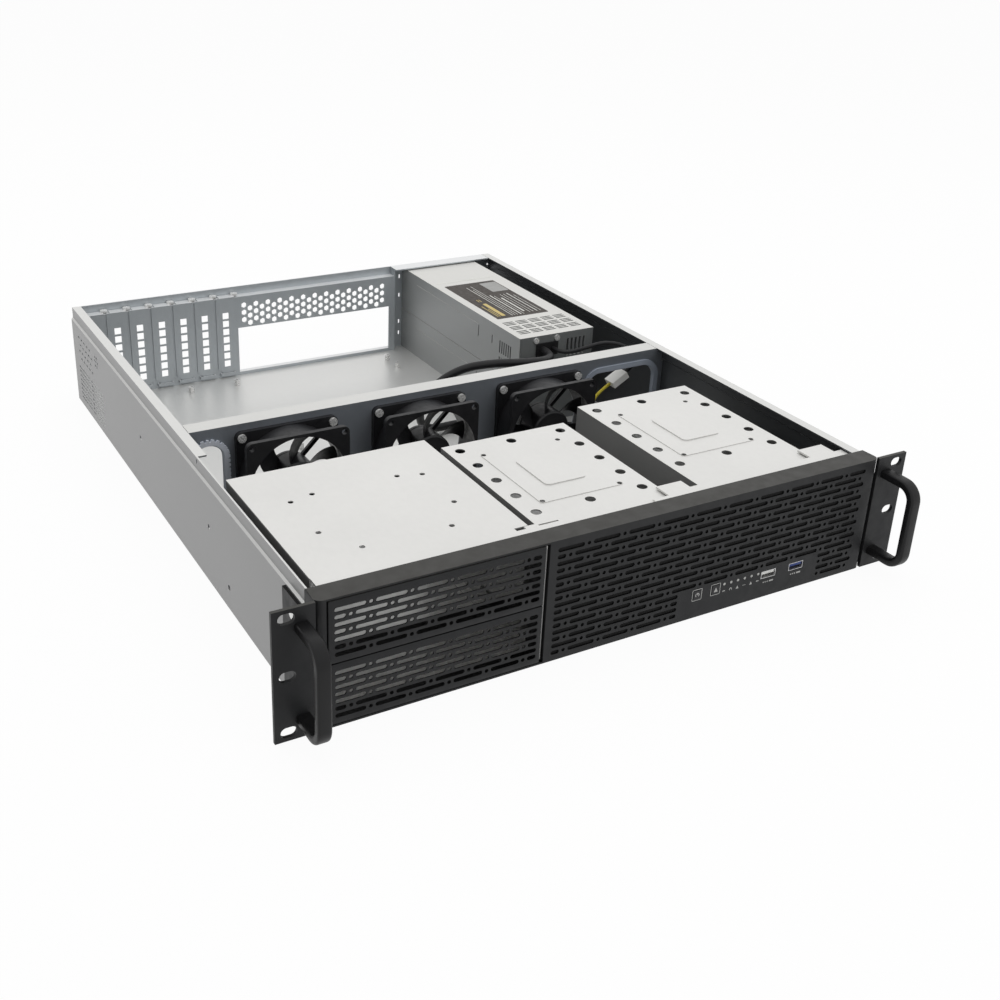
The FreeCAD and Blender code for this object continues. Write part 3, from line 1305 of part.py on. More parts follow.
def psu_base():
    """Lower half of the supply: floor, low sides and full end walls."""
    bottom = FLOOR_Z
    side = PSU_SHEET
    line = [
        (PSU_LEFT, PSU_SEAM), (PSU_LEFT, bottom), (PSU_RIGHT, bottom), (PSU_RIGHT, PSU_SEAM),
    ]
    channel = folded_sheet(line, side, "XZ", PSU_FRONT, PSU_REAR)
    inner_left = PSU_LEFT + side + CLEARANCE
    inner_right = PSU_RIGHT - side - CLEARANCE
    ends = []
    for y in (PSU_FRONT, PSU_REAR - side):
        ends.append(box(inner_left, inner_right, y, y + side, bottom, PSU_TOP - side))
        ends.append(box(PSU_LEFT, PSU_RIGHT, y, y + side, bottom, PSU_SEAM))
    y0 = PSU_REAR - side - PASS
    y1 = PSU_REAR + PASS
    tools = [
        box(
            PSU_X - INLET_WIDTH / 2, PSU_X + INLET_WIDTH / 2, y0, y1,
            INLET_Z - INLET_HEIGHT / 2, INLET_Z + INLET_HEIGHT / 2,
        ),
        box(
            GROMMET_X - GROMMET_WIDTH / 2 + GROMMET_LIP, GROMMET_X + GROMMET_WIDTH / 2 - GROMMET_LIP,
            PSU_FRONT - PASS, PSU_FRONT + side + PASS,
            GROMMET_Z - GROMMET_HEIGHT / 2 + GROMMET_LIP, GROMMET_Z + GROMMET_HEIGHT / 2 - GROMMET_LIP,
        ),
    ]
    for ring in range(RING_SLOT_COUNT):
        radius = RING_SLOT_RADIUS - ring * RING_SLOT_PITCH
        outer = rod(PSU_X, y0, PSU_FAN_Z, radius, side + 2 * PASS)
        ring_slot = outer.cut(rod(PSU_X, y0, PSU_FAN_Z, radius - RING_SLOT_WIDTH, side + 2 * PASS))
        for turn in (45, 135):
            spoke = box(
                PSU_X - PSU_FAN_SIZE / 2, PSU_X + PSU_FAN_SIZE / 2, y0, y1,
                PSU_FAN_Z - RING_SPOKE / 2, PSU_FAN_Z + RING_SPOKE / 2,
            )
            spoke.rotate(Vector(PSU_X, 0, PSU_FAN_Z), Vector(0, 1, 0), turn)
            ring_slot = ring_slot.cut(spoke)
        tools += ring_slot.Solids
    for index in range(FACE_VENT_COUNT):
        x = PSU_LEFT + FACE_VENT_LEFT + index * FACE_VENT_PITCH
        z0, z1 = FACE_VENT_HEIGHT
        tools.append(box(x, x + FACE_VENT_WIDTH, PSU_FRONT - PASS, PSU_FRONT + side + PASS, z0, z1))
    for place, z in FACE_SCREWS:
        start = PSU_FRONT - PASS
        tools.append(rod(PSU_LEFT + place, start, z, FACE_SCREW_RADIUS, side + 2 * PASS))
    rise, hollow = side_panel(*PSU_LOWER_PANEL)
    return join([channel, rise] + ends).cut(tools + [hollow])


def side_panel(z0, z1):
    """The rise and the hollow behind it of an embossed field on the supply's left side."""
    y0, y1 = (PSU_FRONT + place for place in PSU_PANEL)
    inset = PSU_SHEET
    radius = PSU_PANEL_CORNER
    outer = [(y0, z0, radius), (y1, z0, radius), (y1, z1, radius), (y0, z1, radius)]
    inner = [
        (y0 + inset, z0 + inset, radius), (y1 - inset, z0 + inset, radius),
        (y1 - inset, z1 - inset, radius), (y0 + inset, z1 - inset, radius),
    ]
    rise = rounded_prism(outer, "YZ", PSU_LEFT - PSU_PANEL_RISE, PSU_LEFT)
    depth = PSU_LEFT + PSU_SHEET - PSU_PANEL_RISE
    return rise, rounded_prism(inner, "YZ", depth, PSU_LEFT + PSU_SHEET + CLEARANCE)


def psu_cover():
    """Upper half of the supply, with blocks of slots on top and at the left side."""
    line = [
        (PSU_LEFT, PSU_SEAM + PSU_SEAM_GAP), (PSU_LEFT, PSU_TOP), (PSU_RIGHT, PSU_TOP),
        (PSU_RIGHT, PSU_SEAM + PSU_SEAM_GAP),
    ]
    cover = folded_sheet(line, -PSU_SHEET, "XZ", PSU_FRONT, PSU_REAR)
    rise, hollow = side_panel(*PSU_UPPER_PANEL)
    cover = join([cover, rise]).cut(hollow)
    tools = []
    for column in range(TOP_VENT_COLUMNS):
        x = PSU_LEFT + TOP_VENT_LEFT + column * TOP_VENT_BLOCK
        for row in range(TOP_VENT_ROWS):
            for index in range(TOP_VENT_SLOTS):
                y = PSU_FRONT + TOP_VENT_FRONT + row * TOP_VENT_ROW + index * TOP_VENT_PITCH
                tools.append(
                    box(
                        x, x + TOP_VENT_LENGTH, y, y + TOP_VENT_WIDTH, PSU_TOP - 2 * PSU_SHEET,
                        PSU_TOP + PASS,
                    )
                )
    x0 = PSU_LEFT - PASS
    x1 = PSU_LEFT + 2 * PSU_SHEET
    for z0, z1 in SIDE_VENT_ROWS:
        for index in range(SIDE_VENT_COUNT):
            y = PSU_FRONT + SIDE_VENT_FRONT + index * SIDE_VENT_PITCH
            tools.append(box(x0, x1, y, y + SIDE_VENT_WIDTH, z0, z1))
    y0, y1 = (PSU_FRONT + place for place in SIDE_NOTCH)
    tools.append(box(x0, x1, y0, y1, *SIDE_NOTCH_HEIGHT))
    return cover.cut(tools)


def psu_inlet():
    """Mains inlet with a moulded rim, a well and three pins."""
    y = PSU_REAR
    half = INLET_WIDTH / 2
    rise = INLET_HEIGHT / 2
    rim = box(
        PSU_X - half - INLET_RIM, PSU_X + half + INLET_RIM, y, BODY_DEPTH,
        INLET_Z - rise - INLET_RIM, INLET_Z + rise + INLET_RIM,
    )
    body = box(PSU_X - half, PSU_X + half, y - INLET_DEPTH, y, INLET_Z - rise, INLET_Z + rise)
    half -= INLET_WALL
    rise -= INLET_WELL_WALL
    well = box(
        PSU_X - half, PSU_X + half, y - INLET_WELL_DEPTH, BODY_DEPTH + PASS, INLET_Z - rise,
        INLET_Z + rise,
    )
    pins = []
    for dx, dz in INLET_PINS:
        x = PSU_X + dx - INLET_PIN_WIDTH / 2
        z = INLET_Z + dz - INLET_PIN_HEIGHT / 2
        start = y - INLET_WELL_DEPTH - PASS
        pins.append(box(x, x + INLET_PIN_WIDTH, start, y - PASS, z, z + INLET_PIN_HEIGHT))
    return join([join([rim, body]).cut(well)] + pins)


def psu_grommet():
    """Rubber grommet in the supply's front wall, filled by the leads that leave it."""
    y0 = PSU_FRONT - GROMMET_LIP
    half = GROMMET_WIDTH / 2
    rise = GROMMET_HEIGHT / 2
    lip = box(GROMMET_X - half, GROMMET_X + half, y0, PSU_FRONT, GROMMET_Z - rise, GROMMET_Z + rise)
    plug = box(
        GROMMET_X - half + GROMMET_LIP, GROMMET_X + half - GROMMET_LIP, PSU_FRONT,
        PSU_FRONT + PSU_SHEET + 2, GROMMET_Z - rise + GROMMET_LIP, GROMMET_Z + rise - GROMMET_LIP,
    )
    return join([lip, plug])


def psu_screws():
    """Screws through the rear wall beside the supply's window, and in the supply's front."""
    screws = [
        screw(x, BODY_DEPTH, z, "Y", 1, 2.8, REAR_SCREW_HEAD, 1.4, SHEET)
        for x, z in rear_screw_places()
    ]
    for place, z in FACE_SCREWS:
        x = PSU_LEFT + place
        screws.append(screw(x, PSU_FRONT, z, "Y", -1, 2.6, 1.4, FACE_SCREW_RADIUS, PSU_SHEET))
    return screws


# Leads and connectors


def lead(name, route, diameter):
    """A round lead: straight runs joined by tangent arcs as large as the runs allow."""
    points = [Vector(*point) for point in route]
    edges = []
    last = points[0]
    radii = []
    for before, corner, after in zip(points, points[1:], points[2:]):
        back = before - corner
        ahead = after - corner
        shorter = min(back.Length, ahead.Length)
        turn = math.pi - back.getAngle(ahead)
        reach = 0.45 * shorter
        radius = reach / math.tan(turn / 2)
        radii.append(radius)
        back.normalize()
        ahead.normalize()
        middle = corner + (back + ahead).normalize() * (radius / math.cos(turn / 2) - radius)
        start = corner + back * reach
        finish = corner + ahead * reach
        edges.append(Part.LineSegment(last, start).toShape())
        edges.append(Part.Arc(start, middle, finish).toShape())
        last = finish
    edges.append(Part.LineSegment(last, points[-1]).toShape())
    path = Part.Wire(edges)
    length = path.Length
    first_way = points[1] - points[0]
    section = Part.Wire(Part.makeCircle(diameter / 2, points[0], first_way))
    tube = path.makePipeShell([section], True, False)
    tube = Part.Solid(tube) if tube.ShapeType != "Solid" else tube
    volume = math.pi * diameter ** 2 / 4 * length
    smallest = ", ".join(f"{radius:.0f}" for radius in radii)
    print(f"{name}: length {length:.0f}, radii {smallest}, volume ratio {tube.Volume / volume:.3f}")
    return tube


def plug_at(route, along, across, high):
    """A block-shaped connector that starts at the end of a route, in line with its last run."""
    before = Vector(*route[-2])
    end = Vector(*route[-1])
    way = (end - before).normalize()
    block = Part.makeBox(along, across, high, Vector(0, -across / 2, -high / 2))
    block.Placement = FreeCAD.Placement(end, FreeCAD.Rotation(Vector(1, 0, 0), way))
    return block


def plug_between(first, second, across, high):
    """A block-shaped connector that joins the ends of two routes."""
    start = Vector(*first)
    way = Vector(*second) - start
    block = Part.makeBox(way.Length, across, high, Vector(0, -across / 2, -high / 2))
    block.Placement = FreeCAD.Placement(start, FreeCAD.Rotation(Vector(1, 0, 0), way))
    return block


def main():
    os.makedirs("parts", exist_ok=True)
    save("chassis_tray", chassis_tray())
    save("rear_panel", rear_panel())
    for index, x in enumerate(slot_centres(), 1):
        save(f"slot_cover_{index}", slot_cover(x))
    save("slot_cover_screws", *slot_cover_screws())
    save("motherboard_standoffs", *motherboard_standoffs())
    save("front_bezel", front_bezel())
    save("dust_filter", dust_filter())
    half_gap = COVER_SPLIT_GAP / 2
    save("bay_cover_lower", bay_cover(COVER_BOTTOM, COVER_SPLIT - half_gap))
    save("bay_cover_upper", bay_cover(COVER_SPLIT + half_gap, COVER_TOP))
    save("front_frame", front_frame())
    save("ear_right", ear_right())
    save("ear_left", mirrored(ear_right()))
    save("ear_screws", *ear_screws())
    save("handle_right", handle_right())
    save("handle_left", mirrored(handle_right()))
    save("handle_screws", *handle_screws())
    save("power_button", push_button(POWER_BUTTON_X))
    save("reset_button", push_button(RESET_BUTTON_X))
    save("front_io_board", front_io_board())
    save("front_io_bracket", front_io_bracket())
    save("indicator_lights", *indicator_lights())
    save("usb_port_white", usb_port(USB_WHITE_X))
    save("usb_port_blue", usb_port(USB_BLUE_X))
    save("drive_cage", drive_cage())
    save(
        "drive_bracket_middle",
        drive_bracket(
            MIDDLE_BRACKET_LEFT, MIDDLE_BRACKET_FRONT, MIDDLE_BRACKET_REAR, MIDDLE_DRIVE_Y,
            MIDDLE_HOLE_ROW_Y, MIDDLE_HOLE_PITCH,
        ),
    )
    save(
        "drive_bracket_right",
        drive_bracket(
            RIGHT_BRACKET_LEFT, RIGHT_BRACKET_FRONT, RIGHT_BRACKET_REAR, RIGHT_DRIVE_Y,
            RIGHT_HOLE_ROW_Y, RIGHT_HOLE_PITCH,
        ),
    )
    wall = fan_wall()
    save("fan_wall", wall)
    save("cable_trim_left", cable_trim(LEFT_GATE, wall))
    save("cable_trim_right", cable_trim(RIGHT_GATE, wall))
    front = FAN_WALL_Y - FAN_DEPTH
    for index, x in enumerate(FAN_CENTRES, 1):
        frame = fan_frame(
            x, front, FAN_Z, FAN_SIZE, FAN_DEPTH, FAN_BORE, FAN_HUB, FAN_FLANGE, FAN_HOLES,
            FAN_HOLE_RADIUS,
        )
        save(f"fan_{index}_frame", frame)
        impeller = fan_impeller(
            x, front, FAN_Z, FAN_HUB, FAN_BLADE_TIP, FAN_BLADE_DEPTH, FAN_BLADES, FAN_DEPTH
        )
        save(f"fan_{index}_impeller", impeller)
    save("fan_screws", *fan_screws())
    save("psu_base", psu_base())
    save("psu_cover", psu_cover())
    save("psu_inlet", psu_inlet())
    save("psu_grommet", psu_grommet())
    save("psu_screws", *psu_screws())
    psu_fan_front = PSU_REAR - PSU_SHEET - PSU_FAN_DEPTH
    save(
        "psu_fan_frame",
        fan_frame(
            PSU_X, psu_fan_front, PSU_FAN_Z, PSU_FAN_SIZE, PSU_FAN_DEPTH, PSU_FAN_BORE,
            PSU_FAN_HUB, PSU_FAN_FLANGE, PSU_FAN_HOLES, PSU_FAN_HOLE_RADIUS,
        ),
    )
    save(
        "psu_fan_impeller",
        fan_impeller(
            PSU_X, psu_fan_front, PSU_FAN_Z, PSU_FAN_HUB, PSU_FAN_TIP, PSU_FAN_BLADE_DEPTH,
            PSU_FAN_BLADES, PSU_FAN_DEPTH,
        ),
    )
    save("psu_loom", lead("psu_loom", LOOM_ROUTE, LOOM_DIAMETER))
    save("power_plug", plug_at(LOOM_ROUTE, 15.0, 24.0, 9.0))
    save("fan_power_lead", lead("fan_power_lead", FAN_POWER_ROUTE, LEAD_DIAMETER))
    save("fan_plug", plug_between(FAN_POWER_ROUTE[-1], FAN_LEAD_ROUTE[-1], 12.0, 6.0))
    save("fan_lead", lead("fan_lead", FAN_LEAD_ROUTE, THIN_LEAD_DIAMETER))
    save("front_panel_lead", lead("front_panel_lead", FRONT_LEAD_ROUTE, LEAD_DIAMETER))
    save("front_panel_plug", plug_at(FRONT_LEAD_ROUTE, 12.0, 10.0, 3.2))


main()
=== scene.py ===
import logging
import math
from dataclasses import dataclass, field
from enum import Enum

import bmesh
import bpy
from mathutils import Matrix, Vector


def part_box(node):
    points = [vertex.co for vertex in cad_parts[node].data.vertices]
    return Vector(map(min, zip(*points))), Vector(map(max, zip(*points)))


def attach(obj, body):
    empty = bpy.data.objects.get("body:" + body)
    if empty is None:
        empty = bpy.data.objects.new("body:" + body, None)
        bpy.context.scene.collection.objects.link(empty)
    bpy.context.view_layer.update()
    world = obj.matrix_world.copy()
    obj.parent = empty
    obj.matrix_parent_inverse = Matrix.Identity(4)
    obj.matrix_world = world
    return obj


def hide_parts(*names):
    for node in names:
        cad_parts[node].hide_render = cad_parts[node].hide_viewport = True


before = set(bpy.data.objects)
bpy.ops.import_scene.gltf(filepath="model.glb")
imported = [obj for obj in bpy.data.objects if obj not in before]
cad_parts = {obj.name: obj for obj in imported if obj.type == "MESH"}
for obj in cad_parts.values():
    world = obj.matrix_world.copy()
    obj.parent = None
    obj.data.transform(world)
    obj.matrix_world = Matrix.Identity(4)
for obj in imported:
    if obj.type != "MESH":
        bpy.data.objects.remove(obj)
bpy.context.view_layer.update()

LOG = logging.getLogger("rack_case")
MM = 0.001
CASE = "case"
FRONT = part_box("ear_right")[0].y
Colour = tuple[float, float, float]
Span = tuple[float, float]
Outline = list[Span]
Shape = bmesh.types.BMesh
Socket = bpy.types.NodeSocket
Tree = bpy.types.NodeTree
Piece = bpy.types.Object
Material = bpy.types.Material
PAINT_DEPTH = 0.0001
FILM = 0.04
SAME_PLACE = 1e-6
CIRCLE_SIDES = 16
BEVEL_ANGLE = 35
SMOOTH_ANGLE = 0.6


class Plane(Enum):
    """The plane that a flat outline is drawn in."""

    UPRIGHT = "xz"
    LEVEL = "xy"


class Row(Enum):
    """The two kinds of slot row, which alternate like courses of bricks."""

    EVEN = 0
    ODD = 1


class Mark(Enum):
    """Small printed shapes beside the controls."""

    RING = "ring"
    BAR = "bar"
    WEDGE = "wedge"
    DOTS = "dots"


def at(x: float, y: float, z: float) -> Vector:
    """A point given in millimetres from the ears' front plane, in the frame's metres."""
    return Vector((x * MM, FRONT + y * MM, z * MM))


def in_plane(plane: Plane, u: float, v: float, level: float) -> Vector:
    """A point of an outline in a plane, at a level across it.

    Args:
        plane: the outline's plane.
        u: first coordinate, in millimetres.
        v: second coordinate, in millimetres.
        level: place across the plane, in millimetres.

    Returns:
        The point in the frame.
    """
    if plane is Plane.UPRIGHT:
        return at(u, level, v)
    return at(u, v, level)


# Finishes


class Graph:
    """Short names for building one material's nodes."""

    def __init__(self, name: str) -> None:
        """Makes the material with its shader.

        Args:
            name: the material's name.
        """
        self.material = bpy.data.materials.new(name)
        self.material.use_nodes = True
        self.tree = self.material.node_tree
        self.shader = self.tree.nodes["Principled BSDF"]
        places = self.add("ShaderNodeTexCoord")
        self.coordinates = places.outputs["Object"]
        self.place = self.add("ShaderNodeSeparateXYZ", Vector=self.coordinates)
        self.facing = self.add("ShaderNodeSeparateXYZ", Vector=places.outputs["Normal"])

    def add(
        self, kind: str, settings: dict | None = None, **values: Socket | float | tuple
    ) -> bpy.types.Node:
        """Adds a node.

        Args:
            kind: Blender's name of the node type.
            settings: properties of the node.
            values: inputs by name, with spaces as underscores, as numbers or as sockets.

        Returns:
            The node.
        """
        node = self.tree.nodes.new(kind)
        for key, value in (settings or {}).items():
            setattr(node, key, value)
        for key, value in values.items():
            self.feed(node.inputs[key.replace("_", " ")], value)
        return node

    def feed(self, socket: Socket, value: Socket | float | tuple) -> None:
        """Links a socket into an input, or writes a number there.

        Args:
            socket: the input.
            value: what it gets.
        """
        if isinstance(value, Socket):
            self.tree.links.new(value, socket)
        else:
            socket.default_value = value

    def set(self, name: str, value: Socket | float) -> None:
        """Writes a number or a socket into one of the shader's inputs."""
        self.feed(self.shader.inputs[name], value)

    def math(self, operation: str, *values: Socket | float) -> Socket:
        """The result of a calculation.

        Args:
            operation: Blender's name of the operation.
            values: its sockets or numbers, in order.

        Returns:
            The result's socket.
        """
        node = self.add("ShaderNodeMath", {"operation": operation})
        for socket, value in zip(node.inputs, values):
            self.feed(socket, value)
        return node.outputs[0]

    def noise(self, scale: float, detail: float = 3.0, stretch: Colour = (1, 1, 1)) -> Socket:
        """Noise over the surface.

        Args:
            scale: repeats per metre.
            detail: octaves of finer noise.
            stretch: scale along each axis.

        Returns:
            The noise node's value socket.
        """
        mapping = self.add("ShaderNodeMapping", Vector=self.coordinates, Scale=stretch)
        return self.add(
            "ShaderNodeTexNoise", Vector=mapping.outputs[0], Scale=scale, Detail=detail
        ).outputs[0]

    def ramp(
        self, value: Socket, low: float, high: float, from_low: float = 0.3, from_high: float = 0.7
    ) -> Socket:
        """A value moved into another range.

        Args:
            value: socket to move.
            low: result at from_low.
            high: result at from_high.
            from_low: input that gives low.
            from_high: input that gives high.

        Returns:
            The result's socket.
        """
        node = self.add("ShaderNodeMapRange", Value=value)
        for name, number in (
            ("From Min", from_low), ("From Max", from_high), ("To Min", low), ("To Max", high),
        ):
            node.inputs[name].default_value = number
        return node.outputs[0]

    def blend(self, factor: Socket, first: Colour | Socket, second: Colour | Socket) -> Socket:
        """Two colours mixed by a value.

        Args:
            factor: socket from 0 to 1.
            first: colour at 0, or its socket.
            second: colour at 1, or its socket.

        Returns:
            The colour's socket.
        """
        node = self.add("ShaderNodeMix", {"data_type": "RGBA"})
        self.feed(node.inputs[0], factor)
        for socket, colour in ((node.inputs[6], first), (node.inputs[7], second)):
            self.feed(socket, (*colour, 1) if isinstance(colour, tuple) else colour)
        return node.outputs[2]

    def shade(self, colour: Socket, value: Socket) -> Socket:
        """Brightens or darkens a colour by a factor's socket."""
        return self.add("ShaderNodeHueSaturation", Color=colour, Value=value).outputs[0]

    def painted_light_by_facing(self, up: Colour, side: Colour, front: Colour, painted_lit_above: float) -> Socket:
        """Painted light and shade: a colour that follows how the surface stands, lit where it faces
        up and shaded where it stands upright.

        Args:
            up: painted lit colour of surfaces that face up.
            side: painted shaded colour of upright surfaces.
            front: painted shaded colour of upright surfaces that face the front.
            painted_lit_above: height in metres from which every surface has the first colour.

        Returns:
            The colour's socket.
        """
        # Painted light and shade: faces that look up take the lit up colour, upright ones the
        # shaded side or front colour.
        forward = self.ramp(self.facing.outputs[1], 1.0, 0.0, -0.95, -0.4)
        level = self.ramp(self.facing.outputs[2], 0.0, 1.0, 0.2, 0.9)
        # Painted light: faces above that height, such as the small steps of the emboss, take most
        # of the lit up colour.
        high = self.ramp(self.place.outputs[2], 0.0, 0.75, painted_lit_above, painted_lit_above + 0.0004)
        top = self.math("MAXIMUM", level, high)
        return self.blend(top, self.blend(forward, side, front), up)

    def bump(self, height: Socket, strength: float, distance: float = PAINT_DEPTH) -> None:
        """Roughens the shader's surface with a height.

        Args:
            height: socket of the height.
            strength: share of the effect.
            distance: depth in metres.
        """
        node = self.add("ShaderNodeBump", Height=height, Strength=strength, Distance=distance)
        self.set("Normal", node.outputs[0])


@dataclass(frozen=True)
class ZincSheet:
    """Galvanised sheet: faint crystals and rolling streaks, with painted light that makes it
    brightest where it faces up and painted shade on its upright faces.
    """

    name: str
    # up, side and front are painted light and shade: the lit colour of upward faces and the shaded
    # colours of upright ones.
    up: Colour
    side: Colour
    front: Colour
    smooth: float = 0.37
    rough: float = 0.40
    metallic: float = 0.45
    pattern: float = 0.03
    # The inside colour is painted shade on wall faces that face the middle.
    inside: Colour | None = None
    # Height above which every face takes the painted lit up colour.
    painted_lit_above: float = 1.0

    def build(self) -> Material:
        """Builds the material.

        Returns:
            The material.
        """
        graph = Graph(self.name)
        crystals = graph.noise(240.0, 3.0, (1.0, 0.6, 1.0))
        grain = graph.math("MULTIPLY_ADD", crystals, 0.5, graph.noise(14.0, 3.0))
        # Painted light and shade by which way each face looks.
        colour = graph.painted_light_by_facing(self.up, self.side, self.front, self.painted_lit_above)
        # Painted shade: the inner faces of the side walls, which face the middle, take the darker
        # inside colour.
        if self.inside:
            outward = graph.math("MULTIPLY", graph.facing.outputs[0], graph.place.outputs[0])
            inner = graph.ramp(outward, 1.0, 0.0, -0.12, -0.04)
            colour = graph.blend(inner, colour, self.inside)
        spread = graph.ramp(grain, 1 - self.pattern, 1 + self.pattern, 0.5, 1.0)
        graph.set("Base Color", graph.shade(colour, spread))
        graph.set("Roughness", graph.ramp(grain, self.smooth, self.rough, 0.5, 1.0))
        graph.set("Metallic", self.metallic)
        graph.bump(graph.noise(600.0, 2.0), 0.006)
        return graph.material


@dataclass(frozen=True)
class PowderCoat:
    """Baked powder paint: fine orange peel, with a painted sheen on its upward faces at the top and
    painted shade on its lower upward faces.
    """

    name: str
    dark: Colour
    light: Colour
    # Painted light and shade on upward faces: a sheen colour above the height line and a shade
    # colour below it.
    painted_top_sheen: Colour
    painted_low_shade: Colour = (0.003, 0.003, 0.0033)
    painted_sheen_line: Span = (0.084, 0.086)
    smooth: float = 0.42
    rough: float = 0.58
    grain: float = 0.12

    def build(self) -> Material:
        """Builds the material.

        Returns:
            The material.
        """
        graph = Graph(self.name)
        coat = graph.blend(graph.noise(35.0, 4.0), self.dark, self.light)
        # Painted light and shade: upward faces above the line take the painted sheen, lower ones
        # the painted shade.
        level = graph.ramp(graph.facing.outputs[2], 0.0, 1.0, 0.3, 0.95)
        sheen_mask = graph.ramp(graph.place.outputs[2], 0.0, 1.0, *self.painted_sheen_line)
        painted_top_tone = graph.blend(sheen_mask, self.painted_low_shade, self.painted_top_sheen)
        graph.set("Base Color", graph.blend(level, coat, painted_top_tone))
        graph.set("Roughness", graph.ramp(graph.noise(120.0, 3.0), self.smooth, self.rough))
        graph.set("Specular IOR Level", 0.25)
        graph.bump(graph.noise(1900.0, 2.0), self.grain)
        return graph.material


@dataclass(frozen=True)
class Moulding:
    """Moulded plastic or rubber with a fine grain."""

    name: str
    dark: Colour
    light: Colour
    smooth: float = 0.35
    rough: float = 0.5
    grain: float = 0.05

    def build(self) -> Material:
        """Builds the material.

        Returns:
            The material.
        """
        graph = Graph(self.name)
        graph.set("Base Color", graph.blend(graph.noise(55.0, 3.0), self.dark, self.light))
        graph.set("Roughness", graph.ramp(graph.noise(260.0), self.smooth, self.rough))
        graph.set("Specular IOR Level", 0.3)
        graph.bump(graph.noise(2600.0, 2.0), self.grain)
        return graph.material


@dataclass(frozen=True)
class TurnedMetal:
    """Plated or solid metal of small turned parts."""

    name: str
    dark: Colour
    light: Colour
    smooth: float = 0.18
    rough: float = 0.34
    metallic: float = 0.9

    def build(self) -> Material:
        """Builds the material.

        Returns:
            The material.
        """
        graph = Graph(self.name)
        graph.set("Base Color", graph.blend(graph.noise(300.0, 2.0), self.dark, self.light))
        graph.set("Roughness", graph.ramp(graph.noise(900.0), self.smooth, self.rough))
        graph.set("Metallic", self.metallic)
        graph.bump(graph.noise(1500.0, 1.0), 0.05, PAINT_DEPTH / 2)
        return graph.material


@dataclass
class Finishes:
    """Every finish of the case, built once and fetched by name."""

    recipes: tuple = (
        # Zinc colours are painted light and shade: up is the lit colour of upward faces, side and
        # front the shaded colours of upright faces; zinc_outer's last colour is painted shade on
        # the tray's inner wall faces.
        ZincSheet(
            "zinc_bright", (0.735, 0.73, 0.71), (0.34, 0.34, 0.335), (0.40, 0.40, 0.395),
            painted_lit_above=0.0826,
        ),
        ZincSheet(
            "zinc_outer", (0.70, 0.70, 0.685), (0.25, 0.25, 0.25), (0.30, 0.31, 0.33), 0.32, 0.35,
            0.5, 0.02, (0.10, 0.105, 0.11),
        ),
        ZincSheet(
            "zinc_rear", (0.76, 0.77, 0.775), (0.36, 0.385, 0.40), (0.50, 0.535, 0.56), 0.3, 0.38
        ),
        ZincSheet(
            "zinc_wall", (0.655, 0.655, 0.635), (0.19, 0.20, 0.22), (0.24, 0.26, 0.29), 0.3, 0.38
        ),
        ZincSheet(
            "supply_sheet", (0.67, 0.665, 0.64), (0.34, 0.35, 0.35), (0.20, 0.21, 0.21), 0.4,
            0.5, 0.3,
        ),
        # In the powder coats the third colour is a painted sheen on upward faces at the top;
        # handle_black's fourth colour, and panel_black's default one, is painted shade on lower
        # upward faces.
        PowderCoat(
            "panel_black", (0.013, 0.0135, 0.0145), (0.019, 0.0195, 0.0205), (0.044, 0.043, 0.040)
        ),
        PowderCoat(
            "handle_black", (0.006, 0.006, 0.0065), (0.009, 0.009, 0.0095), (0.016, 0.016, 0.0165),
            (0.010, 0.010, 0.0105), smooth=0.33, rough=0.46, grain=0.06,
        ),
        Moulding("fan_black", (0.010, 0.010, 0.011), (0.022, 0.022, 0.024), 0.3, 0.48),
        Moulding("filter_black", (0.004, 0.004, 0.004), (0.011, 0.011, 0.011), 0.8, 0.95, 0.4),
        Moulding("wire_black", (0.008, 0.008, 0.009), (0.020, 0.020, 0.021), 0.38, 0.55),
        Moulding("wire_yellow", (0.55, 0.44, 0.03), (0.72, 0.60, 0.06), 0.4, 0.5),
        Moulding("nylon_pale", (0.72, 0.72, 0.69), (0.84, 0.84, 0.81), 0.3, 0.45),
        Moulding("trim_white", (0.58, 0.62, 0.70), (0.74, 0.77, 0.83), 0.4, 0.6),
        Moulding("trim_grey", (0.27, 0.30, 0.36), (0.36, 0.40, 0.46), 0.35, 0.5),
        Moulding("board_green", (0.012, 0.05, 0.02), (0.02, 0.09, 0.035), 0.3, 0.45),
        Moulding("light_guide", (0.42, 0.42, 0.40), (0.62, 0.62, 0.60), 0.15, 0.3),
        Moulding("tongue_white", (0.75, 0.75, 0.72), (0.88, 0.88, 0.86), 0.3, 0.45),
        Moulding("tongue_blue", (0.015, 0.035, 0.16), (0.025, 0.06, 0.26), 0.3, 0.45),
        Moulding("print_pale", (0.45, 0.45, 0.44), (0.62, 0.62, 0.60), 0.5, 0.65),
        Moulding("label_dark", (0.022, 0.016, 0.012), (0.034, 0.025, 0.019), 0.4, 0.55),
        Moulding("label_gold", (0.50, 0.38, 0.13), (0.62, 0.50, 0.20), 0.4, 0.55),
        Moulding("label_grey", (0.26, 0.26, 0.25), (0.40, 0.40, 0.39), 0.4, 0.55),
        Moulding("label_pale", (0.58, 0.58, 0.55), (0.74, 0.74, 0.70), 0.4, 0.55),
        TurnedMetal("screw_bright", (0.74, 0.74, 0.73), (0.86, 0.86, 0.85), metallic=0.45),
        TurnedMetal("socket_shell", (0.50, 0.50, 0.50), (0.70, 0.70, 0.70), 0.25, 0.4),
    )
    made: dict[str, Material] = field(default_factory=dict)

    def get(self, name: str) -> Material:
        """The material of that name.

        Args:
            name: a recipe's name.

        Returns:
            The material, built at its first use.
        """
        if name not in self.made:
            recipe = next(r for r in self.recipes if r.name == name)
            self.made[name] = recipe.build()
        return self.made[name]


# Shapes


